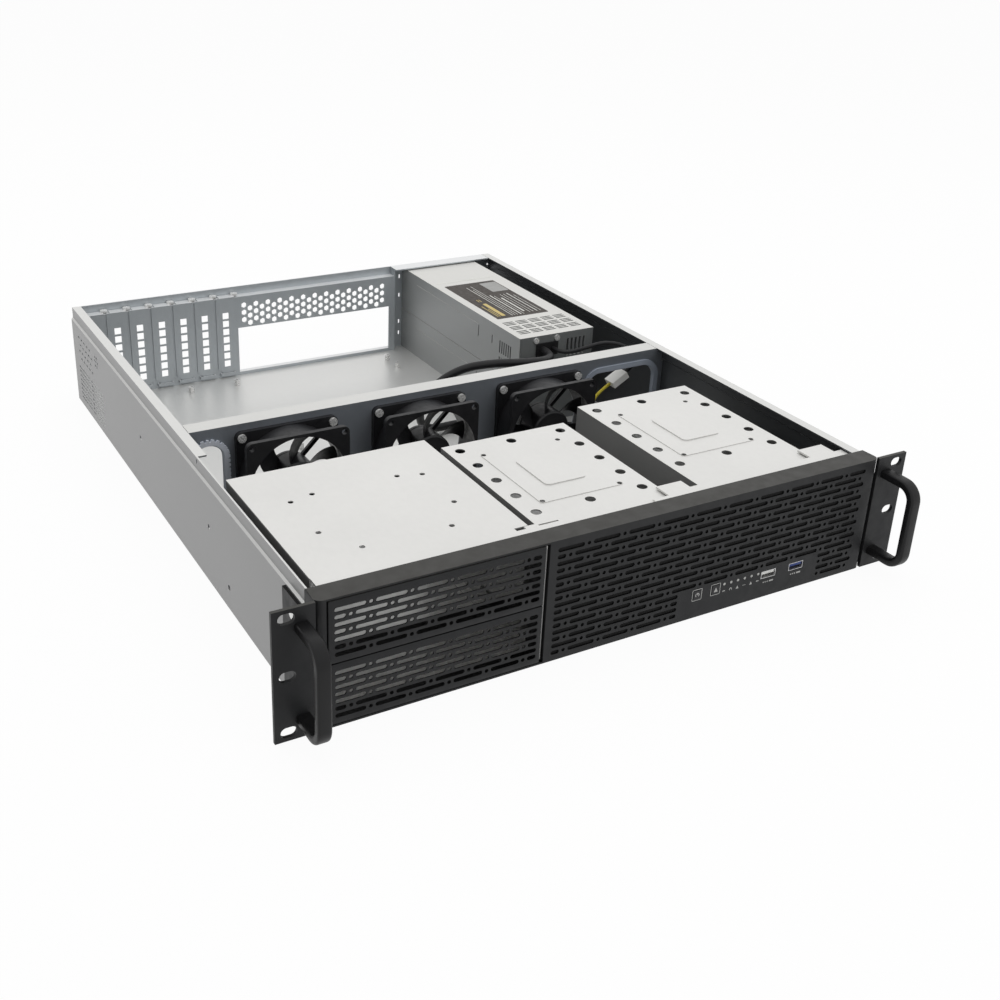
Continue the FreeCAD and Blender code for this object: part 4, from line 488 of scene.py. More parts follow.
@dataclass
class Workshop:
    """Makes pieces and dresses the construction's own ones."""

    finishes: Finishes

    def dress(self, node: str, finish: str, bevel: float = 0.0, segments: int = 2) -> None:
        """Gives a node of the construction its finish and rounded edges.

        Args:
            node: the node's name.
            finish: the finish's name.
            bevel: width of the edge rounding in millimetres, or 0 for none.
            segments: steps of the rounding.
        """
        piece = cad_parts[node]
        piece.data.materials.clear()
        piece.data.materials.append(self.finishes.get(finish))
        if bevel:
            rounding = piece.modifiers.new("edge_rounding", "BEVEL")
            rounding.width = bevel * MM
            rounding.segments = segments
            rounding.limit_method = "ANGLE"
            rounding.angle_limit = math.radians(BEVEL_ANGLE)
            rounding.harden_normals = True
            rounding.use_clamp_overlap = True
        LOG.info("dressed %s in %s", node, finish)

    def dress_all(self, rows: tuple) -> None:
        """Dresses several nodes, each row holding the arguments for one."""
        for row in rows:
            self.dress(*row)

    def piece(
        self, name: str, shape: Shape, finish: str, body: str = CASE,
        replaces: tuple[str, ...] = (), slot: str = "", smooth: bool = False,
    ) -> None:
        """Turns a mesh in the making into a finished piece.

        Args:
            name: the piece's name.
            shape: its mesh, which is used up.
            finish: the finish's name.
            body: the body that it moves with.
            replaces: nodes that it stands for.
            slot: the material slot's name; not used.
            smooth: whether shallow edges are shaded round.
        """
        bmesh.ops.recalc_face_normals(shape, faces=shape.faces[:])
        if smooth:
            for face in shape.faces:
                face.smooth = True
            for edge in shape.edges:
                edge.smooth = len(edge.link_faces) == 2 and edge.calc_face_angle(0) < SMOOTH_ANGLE
        made = as_object(name, shape)
        made.data.materials.append(self.finishes.get(finish))
        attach(made, body)
        if replaces:
            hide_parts(*replaces)
        LOG.info("made %s in %s", name, finish)


def as_object(name: str, shape: Shape) -> Piece:
    """Puts a mesh in the making into the scene.

    Args:
        name: the object's name.
        shape: its mesh, which is used up.

    Returns:
        The object.
    """
    mesh = bpy.data.meshes.new(name)
    shape.to_mesh(mesh)
    shape.free()
    return in_scene(bpy.data.objects.new(name, mesh))


def in_scene(made: Piece) -> Piece:
    """Links an object into the scene and gives it back."""
    bpy.context.scene.collection.objects.link(made)
    return made


def skin(shape: Shape, rings: list[list]) -> None:
    """Joins each closed ring of corners to the next by faces.

    Args:
        shape: the mesh that holds them.
        rings: the rings' corners, as many in each.
    """
    for first, second in zip(rings, rings[1:]):
        for index in range(len(first)):
            following = (index + 1) % len(first)
            shape.faces.new((first[index], second[index], second[following], first[following]))


def tube(shape: Shape, rings: list[list]) -> None:
    """Joins closed rings by faces and closes both ends.

    Args:
        shape: the mesh that holds them.
        rings: the rings' corners, as many in each.
    """
    skin(shape, rings)
    shape.faces.new(rings[0])
    shape.faces.new(rings[-1][::-1])


def add_prism(shape: Shape, outline: Outline, plane: Plane, low: float, high: float) -> None:
    """Adds a closed prism to a mesh.

    Args:
        shape: the mesh.
        outline: its outline, in millimetres.
        plane: the outline's plane.
        low: where it starts across the plane.
        high: where it ends.
    """
    rings = [
        [shape.verts.new(in_plane(plane, u, v, level)) for u, v in outline] for level in (low, high)
    ]
    shape.faces.new(rings[0])
    shape.faces.new(rings[1][::-1])
    skin(shape, rings)


def add_box(shape: Shape, x: Span, y: Span, z: Span) -> None:
    """Adds a block between two limits along each axis, in millimetres."""
    add_prism(shape, [(x[0], y[0]), (x[1], y[0]), (x[1], y[1]), (x[0], y[1])], Plane.LEVEL, *z)


def arc(u: float, v: float, radius: float, start: float, end: float, steps: int) -> Outline:
    """Points along an arc.

    Args:
        u: centre's first coordinate.
        v: centre's second coordinate.
        radius: the arc's radius.
        start: first angle in degrees.
        end: last angle in degrees.
        steps: spaces between the points.

    Returns:
        The points, both ends included.
    """
    angles = [math.radians(start + (end - start) * step / steps) for step in range(steps + 1)]
    return [(u + radius * math.cos(a), v + radius * math.sin(a)) for a in angles]


def circle(u: float, v: float, radius: float, sides: int = CIRCLE_SIDES) -> Outline:
    """The outline of a circle with so many sides."""
    return arc(u, v, radius, 0, 360 - 360 / sides, sides - 1)


def oblong(u0: float, u1: float, v: float, height: float, steps: int = 6) -> Outline:
    """The outline of a slot with round ends.

    Args:
        u0: the slot's start.
        u1: the slot's end.
        v: its middle line.
        height: its width across.
        steps: spaces in each end's arc.

    Returns:
        The outline.
    """
    radius = height / 2
    return arc(u1 - radius, v, radius, -90, 90, steps) + arc(u0 + radius, v, radius, 90, 270, steps)


def rounded_box(u: Span, v: Span, radius: float, steps: int = 4) -> Outline:
    """The outline of a rectangle with round corners.

    Args:
        u: limits along the first coordinate.
        v: limits along the second coordinate.
        radius: the corners' radius.
        steps: spaces in each corner's arc.

    Returns:
        The outline.
    """
    corners = ((u[1], v[0], -90), (u[1], v[1], 0), (u[0], v[1], 90), (u[0], v[0], 180))
    points: Outline = []
    for a, b, start in corners:
        inward_u = -radius if a == u[1] else radius
        inward_v = -radius if b == v[1] else radius
        points += arc(a + inward_u, b + inward_v, radius, start, start + 90, steps)
    return points


def window(x: float, z: float, size: Span, grow: float, radius: float) -> Outline:
    """The outline of a control's opening.

    Args:
        x: its middle.
        z: its middle height.
        size: the control's width and height.
        grow: margin round the control.
        radius: the corners' radius.

    Returns:
        The outline.
    """
    half, rise = size[0] / 2 + grow, size[1] / 2 + grow
    return rounded_box((x - half, x + half), (z - rise, z + rise), radius)


def punch(cutters: Shape, outline: Outline, sheet: float) -> None:
    """Adds a cutter that goes through the front sheet."""
    add_prism(cutters, outline, Plane.UPRIGHT, -1.0, sheet + 0.5)


def carve(shape: Shape, cutters: Shape) -> Shape:
    """Cuts one mesh out of another.

    Args:
        shape: the mesh that is cut, which is used up.
        cutters: the mesh that is taken away, which is used up.

    Returns:
        The cut mesh.
    """
    objects = []
    for name, source in (("carved", shape), ("cutter", cutters)):
        bmesh.ops.recalc_face_normals(source, faces=source.faces[:])
        objects.append(as_object(name, source))
    cut = objects[0].modifiers.new("cut", "BOOLEAN")
    cut.object = objects[1]
    cut.operation = "DIFFERENCE"
    cut.solver = "EXACT"
    bpy.context.view_layer.update()
    evaluated = objects[0].evaluated_get(bpy.context.evaluated_depsgraph_get())
    result = bmesh.new()
    result.from_mesh(evaluated.to_mesh())
    for made in objects:
        mesh = made.data
        bpy.data.objects.remove(made)
        bpy.data.meshes.remove(mesh)
    return result


@dataclass(frozen=True)
class SlotRows:
    """Rows of slots with a dot between each two, laid like courses of bricks."""

    count: int
    first_row: float
    step: float
    pitch: float
    links: Span
    margin: float
    dot: float
    slot: float = 3.0
    end_room: float = 1.5
    shortest: float = 3.0

    def punch(self, cutters: Shape, sheet: float, index: int, base: float, ends: Span) -> None:
        """Adds the slots and dots of one row to the cutters.

        Args:
            cutters: the mesh that they go into.
            sheet: thickness of the sheet that they go through.
            index: the row's number from below.
            base: height that the rows are counted from.
            ends: left and right end of the row.
        """
        z = base + self.first_row + index * self.step
        low, high = ends
        first = self.links[(Row.ODD if index % 2 else Row.EVEN).value]
        link = first - math.ceil((first - low) / self.pitch + 1) * self.pitch
        slots, dots = [], []
        while link < high:
            if low + self.end_room < link < high - self.end_room:
                dots.append(circle(link, z, self.dot / 2))
            start = max(link + self.margin, low)
            end = min(link + self.pitch - self.margin, high)
            if end - start > self.shortest:
                slots.append(oblong(start, end, z, self.slot))
            link += self.pitch
        for outline in slots + dots:
            punch(cutters, outline, sheet)


def round_edges(
    shape: Shape, edges: list[bmesh.types.BMEdge], width: float, segments: int
) -> None:
    """Rounds edges of a mesh.

    Args:
        shape: the mesh.
        edges: the edges.
        width: width of the rounding, in millimetres.
        segments: steps of the rounding.
    """
    bmesh.ops.bevel(
        shape, geom=edges, offset=width * MM, segments=segments, affect="EDGES", profile=0.5
    )


@dataclass
class FrontPanel:
    """Black front panel: pan with rounded ends, bay opening, slotted grille and controls."""

    shop: Workshop
    half_width: float = 215.0
    depth: float = 16.0
    height: float = 88.1
    sheet: float = 1.2
    corner: float = 5.0
    fold: float = 0.9
    bay: Span = (-208.5, -60.3)
    grille: Span = (-54.6, 203.0)
    control: Span = (45.0, 169.5)
    control_rows: int = 4
    rows: SlotRows = SlotRows(16, 6.0, 5.0, 27.05, (9.0, 22.5), 3.3, 2.6)
    control_z: float = 17.8
    buttons: Span = (61.7, 77.6)
    button_size: Span = (6.5, 7.0)
    button_mark: float = 3.4
    sockets: Span = (124.7, 149.9)
    socket_size: Span = (13.1, 5.7)
    gap: float = 0.3
    lights: tuple[float, float, int] = (85.1, 6.0, 6)
    light_z: float = 20.0
    light_hole: float = 1.15
    light_mark: Span = (14.6, 2.4)
    socket_mark_z: float = 11.9

    def plan(self, inset: float, rear: float) -> Outline:
        """The panel's outline from above.

        Args:
            inset: distance that it lies inside the outer faces.
            rear: where it ends at the rear.

        Returns:
            The outline.
        """
        x = self.half_width - inset
        middle = self.half_width - self.corner
        radius = self.corner - inset
        left = arc(-middle, self.corner, radius, 180, 270, 10)
        right = arc(middle, self.corner, radius, 270, 360, 10)
        return [(-x, rear)] + left + right + [(x, rear)]

    def shell(self) -> Shape:
        """The pan, with its folds rounded and its two hollows cut.

        Returns:
            The mesh.
        """
        block = bmesh.new()
        add_prism(block, self.plan(0, self.depth), Plane.LEVEL, 0, self.height)
        rear = FRONT + self.depth * MM
        folds = []
        for edge in block.edges:
            level = abs(edge.verts[0].co.z - edge.verts[1].co.z) < SAME_PLACE
            at_rear = all(abs(v.co.y - rear) < SAME_PLACE for v in edge.verts)
            if level and not at_rear:
                folds.append(edge)
        round_edges(block, folds, self.fold, 3)
        hollows = bmesh.new()
        z = (self.sheet, self.height - self.sheet)
        web = (self.bay[1], self.bay[1] + self.sheet)
        rear = self.depth + 1
        outline = self.plan(self.sheet, rear)
        left = [p for p in outline if p[0] < web[0]] + [(web[0], self.sheet), (web[0], rear)]
        right = [(web[1], rear), (web[1], self.sheet)] + [p for p in outline if p[0] > web[1]]
        add_prism(hollows, left, Plane.LEVEL, *z)
        add_prism(hollows, right, Plane.LEVEL, *z)
        return carve(block, hollows)

    def add_rows(self, cutters: Shape) -> None:
        """Adds the grille's slots and dots.

        Args:
            cutters: the mesh that they go into.
        """
        for index in range(self.rows.count):
            parts = [self.grille]
            if index < self.control_rows:
                parts = [(self.grille[0], self.control[0]), (self.control[1], self.grille[1])]
            for ends in parts:
                self.rows.punch(cutters, self.sheet, index, 0.0, ends)

    def add_controls(self, cutters: Shape) -> None:
        """Adds the holes for buttons, lights and sockets.

        Args:
            cutters: the mesh that they go into.
        """
        for places, size in ((self.buttons, self.button_size), (self.sockets, self.socket_size)):
            for x in places:
                punch(cutters, window(x, self.control_z, size, self.gap, 0.5), self.sheet)
        first, pitch, count = self.lights
        for index in range(count):
            hole = circle(first + index * pitch, self.light_z, self.light_hole)
            punch(cutters, hole, self.sheet)

    def build(self) -> None:
        """Makes the panel with its bay opening, grille and control holes."""
        cutters = bmesh.new()
        (left, right), low, high = self.bay, self.sheet + 0.1, self.height - self.sheet
        punch(cutters, [(left, low), (right, low), (right, high), (left, high)], self.sheet)
        self.add_rows(cutters)
        self.add_controls(cutters)
        self.shop.piece(
            "front_panel", carve(self.shell(), cutters), "panel_black", replaces=("front_bezel",),
            slot="black_panel", smooth=True,
        )
        self.print_marks()
        self.dress_controls()

    def add_mark(
        self, shape: Shape, mark: Mark, x: float, z: float, size: float, y: float = 0.0
    ) -> None:
        """Adds one printed mark.

        Args:
            shape: the mesh that it goes into.
            mark: which mark.
            x: its middle.
            z: its middle height.
            size: its width.
            y: the plane that it is printed on.
        """
        half = size / 2

        def film(outline: Outline, rise: float = FILM) -> None:
            """Prints one outline as a thin film."""
            add_prism(shape, outline, Plane.UPRIGHT, y - rise, y)

        if mark is Mark.RING:
            film(arc(x, z, half, -50, 230, 14) + arc(x, z, half * 0.68, 230, -50, 14))
            left, right = x - half * 0.14, x + half * 0.14
            film([(left, z), (right, z), (right, z + half), (left, z + half)], FILM * 1.5)
        elif mark is Mark.BAR:
            film(rounded_box((x - half, x + half), (z - half * 0.3, z + half * 0.3), half * 0.2))
        elif mark is Mark.WEDGE:
            film([(x - half, z - half), (x + half, z - half), (x, z + half)])
        else:
            for offset in (-0.8, 0.0, 0.8):
                film(circle(x + offset * half, z, half * 0.26, 8))

    def print_marks(self) -> None:
        """Prints the small pale marks of the control block."""
        shape = bmesh.new()
        for x in self.buttons:
            rings = []
            for grow, radius in ((0.9, 0.9), (0.45, 0.5)):
                line = window(x, self.control_z, self.button_size, grow, radius)
                rings.append([shape.verts.new(in_plane(Plane.UPRIGHT, *p, -FILM)) for p in line])
            skin(shape, rings[::-1])
        first, pitch, count = self.lights
        kinds = (Mark.BAR, Mark.RING, Mark.WEDGE, Mark.DOTS, Mark.WEDGE, Mark.BAR)
        for index, kind in zip(range(count), kinds):
            self.add_mark(shape, kind, first + index * pitch, *self.light_mark)
        for x in self.sockets:
            self.add_mark(shape, Mark.DOTS, x - 2.0, self.socket_mark_z, 4.4)
            self.add_mark(shape, Mark.BAR, x + 3.2, self.socket_mark_z, 4.0)
        self.shop.piece("control_marks", shape, "print_pale")

    def dress_controls(self) -> None:
        """Finishes buttons, lights and sockets, and adds what shows inside the sockets."""
        for node, x in zip(("power_button", "reset_button"), self.buttons):
            self.shop.dress(node, "fan_black", 0.4)
            mark = bmesh.new()
            kind = Mark.RING if node == "power_button" else Mark.WEDGE
            self.add_mark(mark, kind, x, self.control_z, self.button_mark, -0.4)
            self.shop.piece(f"{node}_mark", mark, "print_pale", body=node)
        for node, x, finish in zip(
            ("usb_port_white", "usb_port_blue"), self.sockets, ("tongue_white", "tongue_blue")
        ):
            self.shop.dress(node, "socket_shell", 0.1, 1)
            tongue = bmesh.new()
            z = (self.control_z - 0.06, self.control_z + 1.86)
            add_box(tongue, (x - 5.6, x + 5.6), (1.0, 12.0), z)
            self.shop.piece(f"{node}_tongue", tongue, finish)
        self.shop.dress_all((
            ("indicator_lights", "light_guide", 0.15), ("front_io_board", "board_green"),
            ("front_io_bracket", "zinc_bright", 0.3), ("dust_filter", "filter_black"),
        ))


@dataclass
class BayCover:
    """Slotted cover of one wide bay."""

    shop: Workshop
    node: str
    depth: float = 16.0
    sheet: float = 0.8
    borders: Span = (3.8, 3.0)
    rows: SlotRows = SlotRows(7, 5.8, 4.95, 26.35, (-180.8, -193.5), 3.0, 2.7)

    def build(self) -> None:
        """Makes the cover in place of its node."""
        low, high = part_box(self.node)
        x0, x1 = low.x / MM, high.x / MM
        z0, z1 = low.z / MM, high.z / MM
        t = self.sheet
        block = bmesh.new()
        add_prism(block, rounded_box((x0, x1), (z0, z1), 0.8, 3), Plane.UPRIGHT, 0, self.depth)
        front = [
            e for e in block.edges if all(abs(v.co.y - FRONT) < SAME_PLACE for v in e.verts)
        ]
        round_edges(block, front, 0.5, 2)
        hollow = bmesh.new()
        inner = rounded_box((x0 + t, x1 - t), (z0 + t, z1 - t), 0.3, 2)
        add_prism(hollow, inner, Plane.UPRIGHT, t, self.depth + 1)
        pan = carve(block, hollow)
        cutters = bmesh.new()
        ends = (x0 + self.borders[0], x1 - self.borders[1])
        for index in range(self.rows.count):
            self.rows.punch(cutters, t, index, z0, ends)
        self.shop.piece(
            f"{self.node}_pan", carve(pan, cutters), "panel_black", replaces=(self.node,),
            slot="black_panel", smooth=True,
        )


@dataclass
class EarsAndHandles:
    """Rack ears with their bow handles."""

    shop: Workshop
    bar: Span = (9.0, 6.0)
    edge: float = 1.6
    corner: float = 11.0

    def handle(self, node: str) -> None:
        """Makes one bow handle in place of its node.

        Args:
            node: the node's name.
        """
        low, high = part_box(node)
        x = (low.x + high.x) / 2 / MM
        wide, deep = (size / 2 for size in self.bar)
        z0, z1 = low.z / MM + deep, high.z / MM - deep
        reach = (low.y - FRONT) / MM + deep
        r = self.corner
        path = [(0.0, z0), (-2.0, z0)] + arc(reach + r, z0 + r, r, 270, 180, 12)
        path += arc(reach + r, z1 - r, r, 180, 90, 12) + [(-2.0, z1), (0.0, z1)]
        section = rounded_box((-wide, wide), (-deep, deep), self.edge)
        shape = bmesh.new()
        rings = []
        for index, (y, z) in enumerate(path):
            before = path[max(index - 1, 0)]
            after = path[min(index + 1, len(path) - 1)]
            way = Vector((after[0] - before[0], after[1] - before[1])).normalized()
            side = Vector((-way.y, way.x))
            rings.append(
                [shape.verts.new(at(x + u, y + side.x * v, z + side.y * v)) for u, v in section]
            )
        tube(shape, rings)
        self.shop.piece(
            f"{node}_bow", shape, "handle_black", replaces=(node,), slot="black_handle", smooth=True
        )

    def build(self) -> None:
        """Dresses the ears and screws, and makes both handles."""
        for side in ("left", "right"):
            self.shop.dress(f"ear_{side}", "panel_black", 0.35)
            self.handle(f"handle_{side}")
        for node in ("ear_screws", "handle_screws"):
            self.shop.dress(node, "screw_bright", 0.3)


@dataclass
class SheetMetal:
    """The folded sheets: tray, rear wall, slot covers, frame, cage, brackets and cross wall."""

    shop: Workshop

    def build(self) -> None:
        """Dresses every sheet piece."""
        self.shop.dress_all((
            ("chassis_tray", "zinc_outer", 0.35), ("rear_panel", "zinc_rear", 0.2, 1),
            *((f"slot_cover_{index}", "zinc_rear", 0.2, 1) for index in range(1, 8)),
            ("slot_cover_screws", "screw_bright", 0.3),
            ("motherboard_standoffs", "screw_bright", 0.2),
            ("front_frame", "zinc_bright", 0.3), ("drive_cage", "zinc_bright", 0.35),
            *((f"drive_bracket_{side}", "zinc_bright", 0.35, 3) for side in ("middle", "right")),
            ("fan_wall", "zinc_wall", 0.3),
        ))


@dataclass
class CableTrim:
    """Edging strip of a cable opening, cut into short teeth."""

    shop: Workshop
    node: str
    finish: str
    slot: str
    tooth: float = 2.6
    gap: float = 0.9
    half: float = 2.5
    root: float = 0.9
    depth: float = 4.2
    corner: float = 14.0
    sheet: float = 1.2
    step: float = 0.6
    toothed: bool = True

    def path(self) -> list[tuple[Vector, Vector]]:
        """Places along the opening's edge with the way outwards.

        Returns:
            Pairs of place and outward direction, in millimetres in the upright plane.
        """
        low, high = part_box(self.node)
        x0, x1 = low.x / MM + self.half, high.x / MM - self.half
        top, bottom = high.z / MM - self.half, low.z / MM
        r = min(self.corner, (x1 - x0) / 2 - 0.5)
        places = []

        def run(a: Span, b: Span, out: Span) -> None:
            """Adds evenly spaced places along a straight stretch.

            Args:
                a: where it starts.
                b: where it ends.
                out: the way outwards.
            """
            count = max(1, round(math.dist(a, b) / self.step))
            for k in range(count):
                t = k / count
                spot = (a[0] + (b[0] - a[0]) * t, a[1] + (b[1] - a[1]) * t)
                places.append((Vector(spot), Vector(out)))

        def turn(cx: float, cz: float, start: float, end: float) -> None:
            """Adds evenly spaced places along a corner.

            Args:
                cx: the corner's centre across.
                cz: its height.
                start: first angle in degrees.
                end: last angle in degrees.
            """
            count = max(2, round(math.radians(abs(end - start)) * r / self.step))
            for k in range(count):
                a = math.radians(start + (end - start) * k / count)
                out = Vector((math.cos(a), math.sin(a)))
                places.append((Vector((cx, cz)) + out * r, out))

        run((x0, bottom), (x0, top - r), (-1, 0))
        turn(x0 + r, top - r, 180, 90)
        run((x0 + r, top), (x1 - r, top), (0, 1))
        turn(x1 - r, top - r, 90, 0)
        run((x1, top - r), (x1, bottom + 0.01), (1, 0))
        places.append((Vector((x1, bottom)), Vector((1, 0))))
        return places

    def build(self) -> None:
        """Makes the strip with its teeth in place of its node."""
        low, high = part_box(self.node)
        middle = ((low.y + high.y) / 2 - FRONT) / MM
        half, y, grip = self.half, self.depth / 2, self.sheet / 2
        shape = bmesh.new()
        travelled = 0.0
        last = None
        rings = []
        for place, out in self.path():
            travelled += (place - last).length if last is not None else 0.0
            last = place
            between = self.toothed and travelled % (self.tooth + self.gap) > self.tooth
            reach = self.root if between else half
            profile = (
                (reach, -y), (reach, -grip), (0.05, -grip), (0.05, grip), (reach, grip), (reach, y),
                (-half * 0.7, y), (-half, y * 0.6), (-half, -y * 0.6), (-half * 0.7, -y),
            )
            ring = []
            for offset, across in profile:
                spot = place + out * offset
                ring.append(shape.verts.new(at(spot.x, middle + across, spot.y)))
            rings.append(ring)
        tube(shape, rings)
        self.shop.piece(
            f"{self.node}_strip", shape, self.finish, replaces=(self.node,), slot=self.slot
        )


@dataclass
class Impeller:
    """Fan wheel with a cup hub and swept, twisted blades."""

    shop: Workshop
    node: str
    hub: float
    tip: float
    blades: int
    depth: float
    cap_end: float
    spans: int = 7
    chords: int = 8
    hub_sides: int = 40
    root_pitch: float = 52
    twist: float = 22
    sweep: float = 0.32
    camber: float = 0.22

    def add_blade(self, shape: Shape, turn: float, centre: Vector, middle: float) -> None:
        """Adds one blade.

        Args:
            shape: the mesh that it goes into.
            turn: its angle round the shaft.
            centre: the shaft's x and z, in millimetres.
            middle: the blade's middle along the shaft.
        """
        spans, chords = self.spans, self.chords
        thickness = 0.9 * self.depth / 15
        sides: list[list[list]] = [[], []]
        for i in range(spans + 1):
            t = i / spans
            radius = self.hub - 0.6 + (self.tip - self.hub + 0.6) * t
            pitch = math.radians(self.root_pitch - self.twist * t)
            chord = self.depth * 1.02 / math.sin(pitch)
            sweep = turn + self.sweep * t * t
            rows: list[list] = [[], []]
            for j in range(chords + 1):
                s = j / chords - 0.5
                along = s * chord * math.cos(pitch)
                rise = s * chord * math.sin(pitch) + (0.25 - s * s) * self.depth * self.camber
                angle = sweep + along / max(radius, 1.0)
                taper = thickness * (1 - (2 * s) ** 2 * 0.7) / 2
                for side, sign in enumerate((-1, 1)):
                    x = centre.x + radius * math.sin(angle)
                    z = centre.y + radius * math.cos(angle)
                    rows[side].append(shape.verts.new(at(x, middle + rise + sign * taper, z)))
            sides[0].append(rows[0])
            sides[1].append(rows[1])
        for side, grid in enumerate(sides):
            for a, b in zip(grid, grid[1:]):
                for j in range(chords):
                    quad = (a[j], a[j + 1], b[j + 1], b[j])
                    shape.faces.new(quad if side else quad[::-1])
        under, over = sides
        for j in range(chords):
            for i in (0, -1):
                shape.faces.new((under[i][j], under[i][j + 1], over[i][j + 1], over[i][j]))
        for j in (0, chords):
            for i in range(spans):
                shape.faces.new((under[i][j], under[i + 1][j], over[i + 1][j], over[i][j]))

    def build(self) -> None:
        """Makes the wheel in place of its node."""
        low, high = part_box(self.node)
        centre = Vector(((low.x + high.x) / 2 / MM, (low.z + high.z) / 2 / MM))
        front = (low.y - FRONT) / MM
        shape = bmesh.new()
        hub, steps = self.hub, self.hub_sides
        rear = front + self.cap_end - 2.0
        profile = (
            (0.0, front + 0.35), (hub * 0.55, front + 0.35), (hub * 0.62, front),
            (hub - 1.2, front), (hub, front + 1.2), (hub, rear), (hub - 1.4, rear),
            (hub - 1.4, front + 2.0), (0.0, front + 2.0),
        )
        rings = []
        for radius, y in profile:
            if radius == 0.0:
                rings.append([shape.verts.new(at(centre.x, y, centre.y))])
                continue
            points = circle(centre.x, centre.y, radius, steps)
            rings.append([shape.verts.new(at(x, y, z)) for x, z in points])
        for a, b in zip(rings, rings[1:]):
            for k in range(steps):
                n = (k + 1) % steps
                if len(a) == 1:
                    shape.faces.new((a[0], b[k], b[n]))
                elif len(b) == 1:
                    shape.faces.new((a[k], b[0], a[n]))
                else:
                    shape.faces.new((a[k], b[k], b[n], a[n]))
        middle = front + (self.cap_end - 2.0) / 2
        for index in range(self.blades):
            self.add_blade(shape, 2 * math.pi * index / self.blades, centre, middle)
        self.shop.piece(
            f"{self.node}_wheel", shape, "fan_black", body=self.node, replaces=(self.node,),
            slot="black_plastic", smooth=True,
        )


@dataclass
class Fans:
    """Three case fans on the cross wall."""

    shop: Workshop
    count: int = 3

    def build(self) -> None:
        """Dresses the frames and screws and makes the wheels."""
        for index in range(1, self.count + 1):
            self.shop.dress(f"fan_{index}_frame", "fan_black", 0.5, 2)
            Impeller(self.shop, f"fan_{index}_impeller", 17.0, 37.0, 7, 15.0, 22.0).build()
        self.shop.dress("fan_screws", "screw_bright", 0.3)


@dataclass
class PowerSupply:
    """Power supply with its printed label, embossed lines, fan and inlet."""

    shop: Workshop
    top: float = 84.6
    label: tuple = ((122.0, 176.0), (370.0, 471.0))
    gold: tuple = ((130.0, 134.0), (376.0, 412.0))
    pale: tuple = ((157.5, 175.0), (439.0, 466.0))
    stripes: tuple = (
        (139.5, 374.0, 459.0, 0.7), (142.5, 374.0, 452.0, 0.5), (145.2, 374.0, 461.0, 0.5),
        (148.5, 374.0, 431.0, 1.2), (152.0, 374.0, 428.0, 0.5), (155.0, 380.0, 421.0, 1.6),
        (159.5, 376.0, 430.0, 0.5), (163.0, 376.0, 430.0, 0.5), (167.0, 376.0, 431.0, 1.0),
        (171.0, 376.0, 424.0, 0.5),
    )
    gold_lines: tuple = (
        (125.5, 376.0, 406.0), (127.7, 376.0, 398.0), (130.0, 418.0, 424.0), (132.4, 418.0, 424.0),
    )

    def plate(self, name: str, x: Span, y: Span, lift: float, finish: str) -> None:
        """Lays one printed field on the cover's top.

        Args:
            name: the piece's name.
            x: its limits across.
            y: its limits along.
            lift: height above the cover.
            finish: the finish's name.
        """
        shape = bmesh.new()
        high = self.top + lift
        add_prism(shape, rounded_box(x, y, 1.0, 3), Plane.LEVEL, high - 0.12, high)
        self.shop.piece(name, shape, finish)

    def build(self) -> None:
        """Dresses the housing and adds label fields, strip and lines."""
        self.shop.dress_all((
            ("psu_cover", "supply_sheet", 0.5), ("psu_base", "supply_sheet", 0.4, 1),
            ("psu_inlet", "fan_black", 0.3), ("psu_grommet", "wire_black", 0.6),
            ("psu_screws", "screw_bright", 0.3), ("psu_fan_frame", "fan_black", 0.3),
        ))
        self.plate("supply_label", *self.label, 0.12, "label_dark")
        self.plate("supply_label_gold", *self.gold, 0.2, "label_gold")
        self.plate("supply_label_pale", *self.pale, 0.2, "label_grey")
        for name, lines, finish in (
            ("pale", self.stripes, "label_pale"),
            ("gold", [(*line, 0.8) for line in self.gold_lines], "label_gold"),
        ):
            shape = bmesh.new()
            for x, y0, y1, width in lines:
                add_box(shape, (x, x + width), (y0, y1), (self.top + 0.1, self.top + 0.2))
            self.shop.piece(f"supply_label_{name}_lines", shape, finish)
        x0, x1 = self.label[0]
        self.plate("supply_strip", (x0 - 3, x1 + 6), (480.0, 483.5), 0.1, "label_pale")
        Impeller(self.shop, "psu_fan_impeller", 10.0, 22.6, 5, 8.0, 12.0).build()


@dataclass
class Lead:
    """One loose lead along its route, in metres from the ears' front plane."""

    name: str
    route: tuple
    diameter: float
    length: float
    finish: str
    slot: str
    far_end: str
    pieces: tuple[str, ...]

    def build(self, shop: Workshop) -> None:
        """Args:
            shop: the workshop with the finishes.
        """
        curve = bpy.data.curves.new(f"{self.name}_line", "CURVE")
        curve.dimensions = "3D"
        spline = curve.splines.new("NURBS")
        points = [(x, y + FRONT, z) for x, y, z in self.route]
        spline.points.add(len(points) - 1)
        for target, point in zip(spline.points, points):
            target.co = (*point, 1.0)
        spline.order_u = 3
        spline.use_endpoint_u = True
        spline.resolution_u = 10
        curve.bevel_depth = self.diameter / 2
        curve.bevel_resolution = 5
        curve.use_fill_caps = True
        made = in_scene(bpy.data.objects.new(f"{self.name}_line", curve))
        made.data.materials.append(shop.finishes.get(self.finish))
        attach(made, CASE)
        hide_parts(self.name)
        LOG.info("laid %s", self.name)


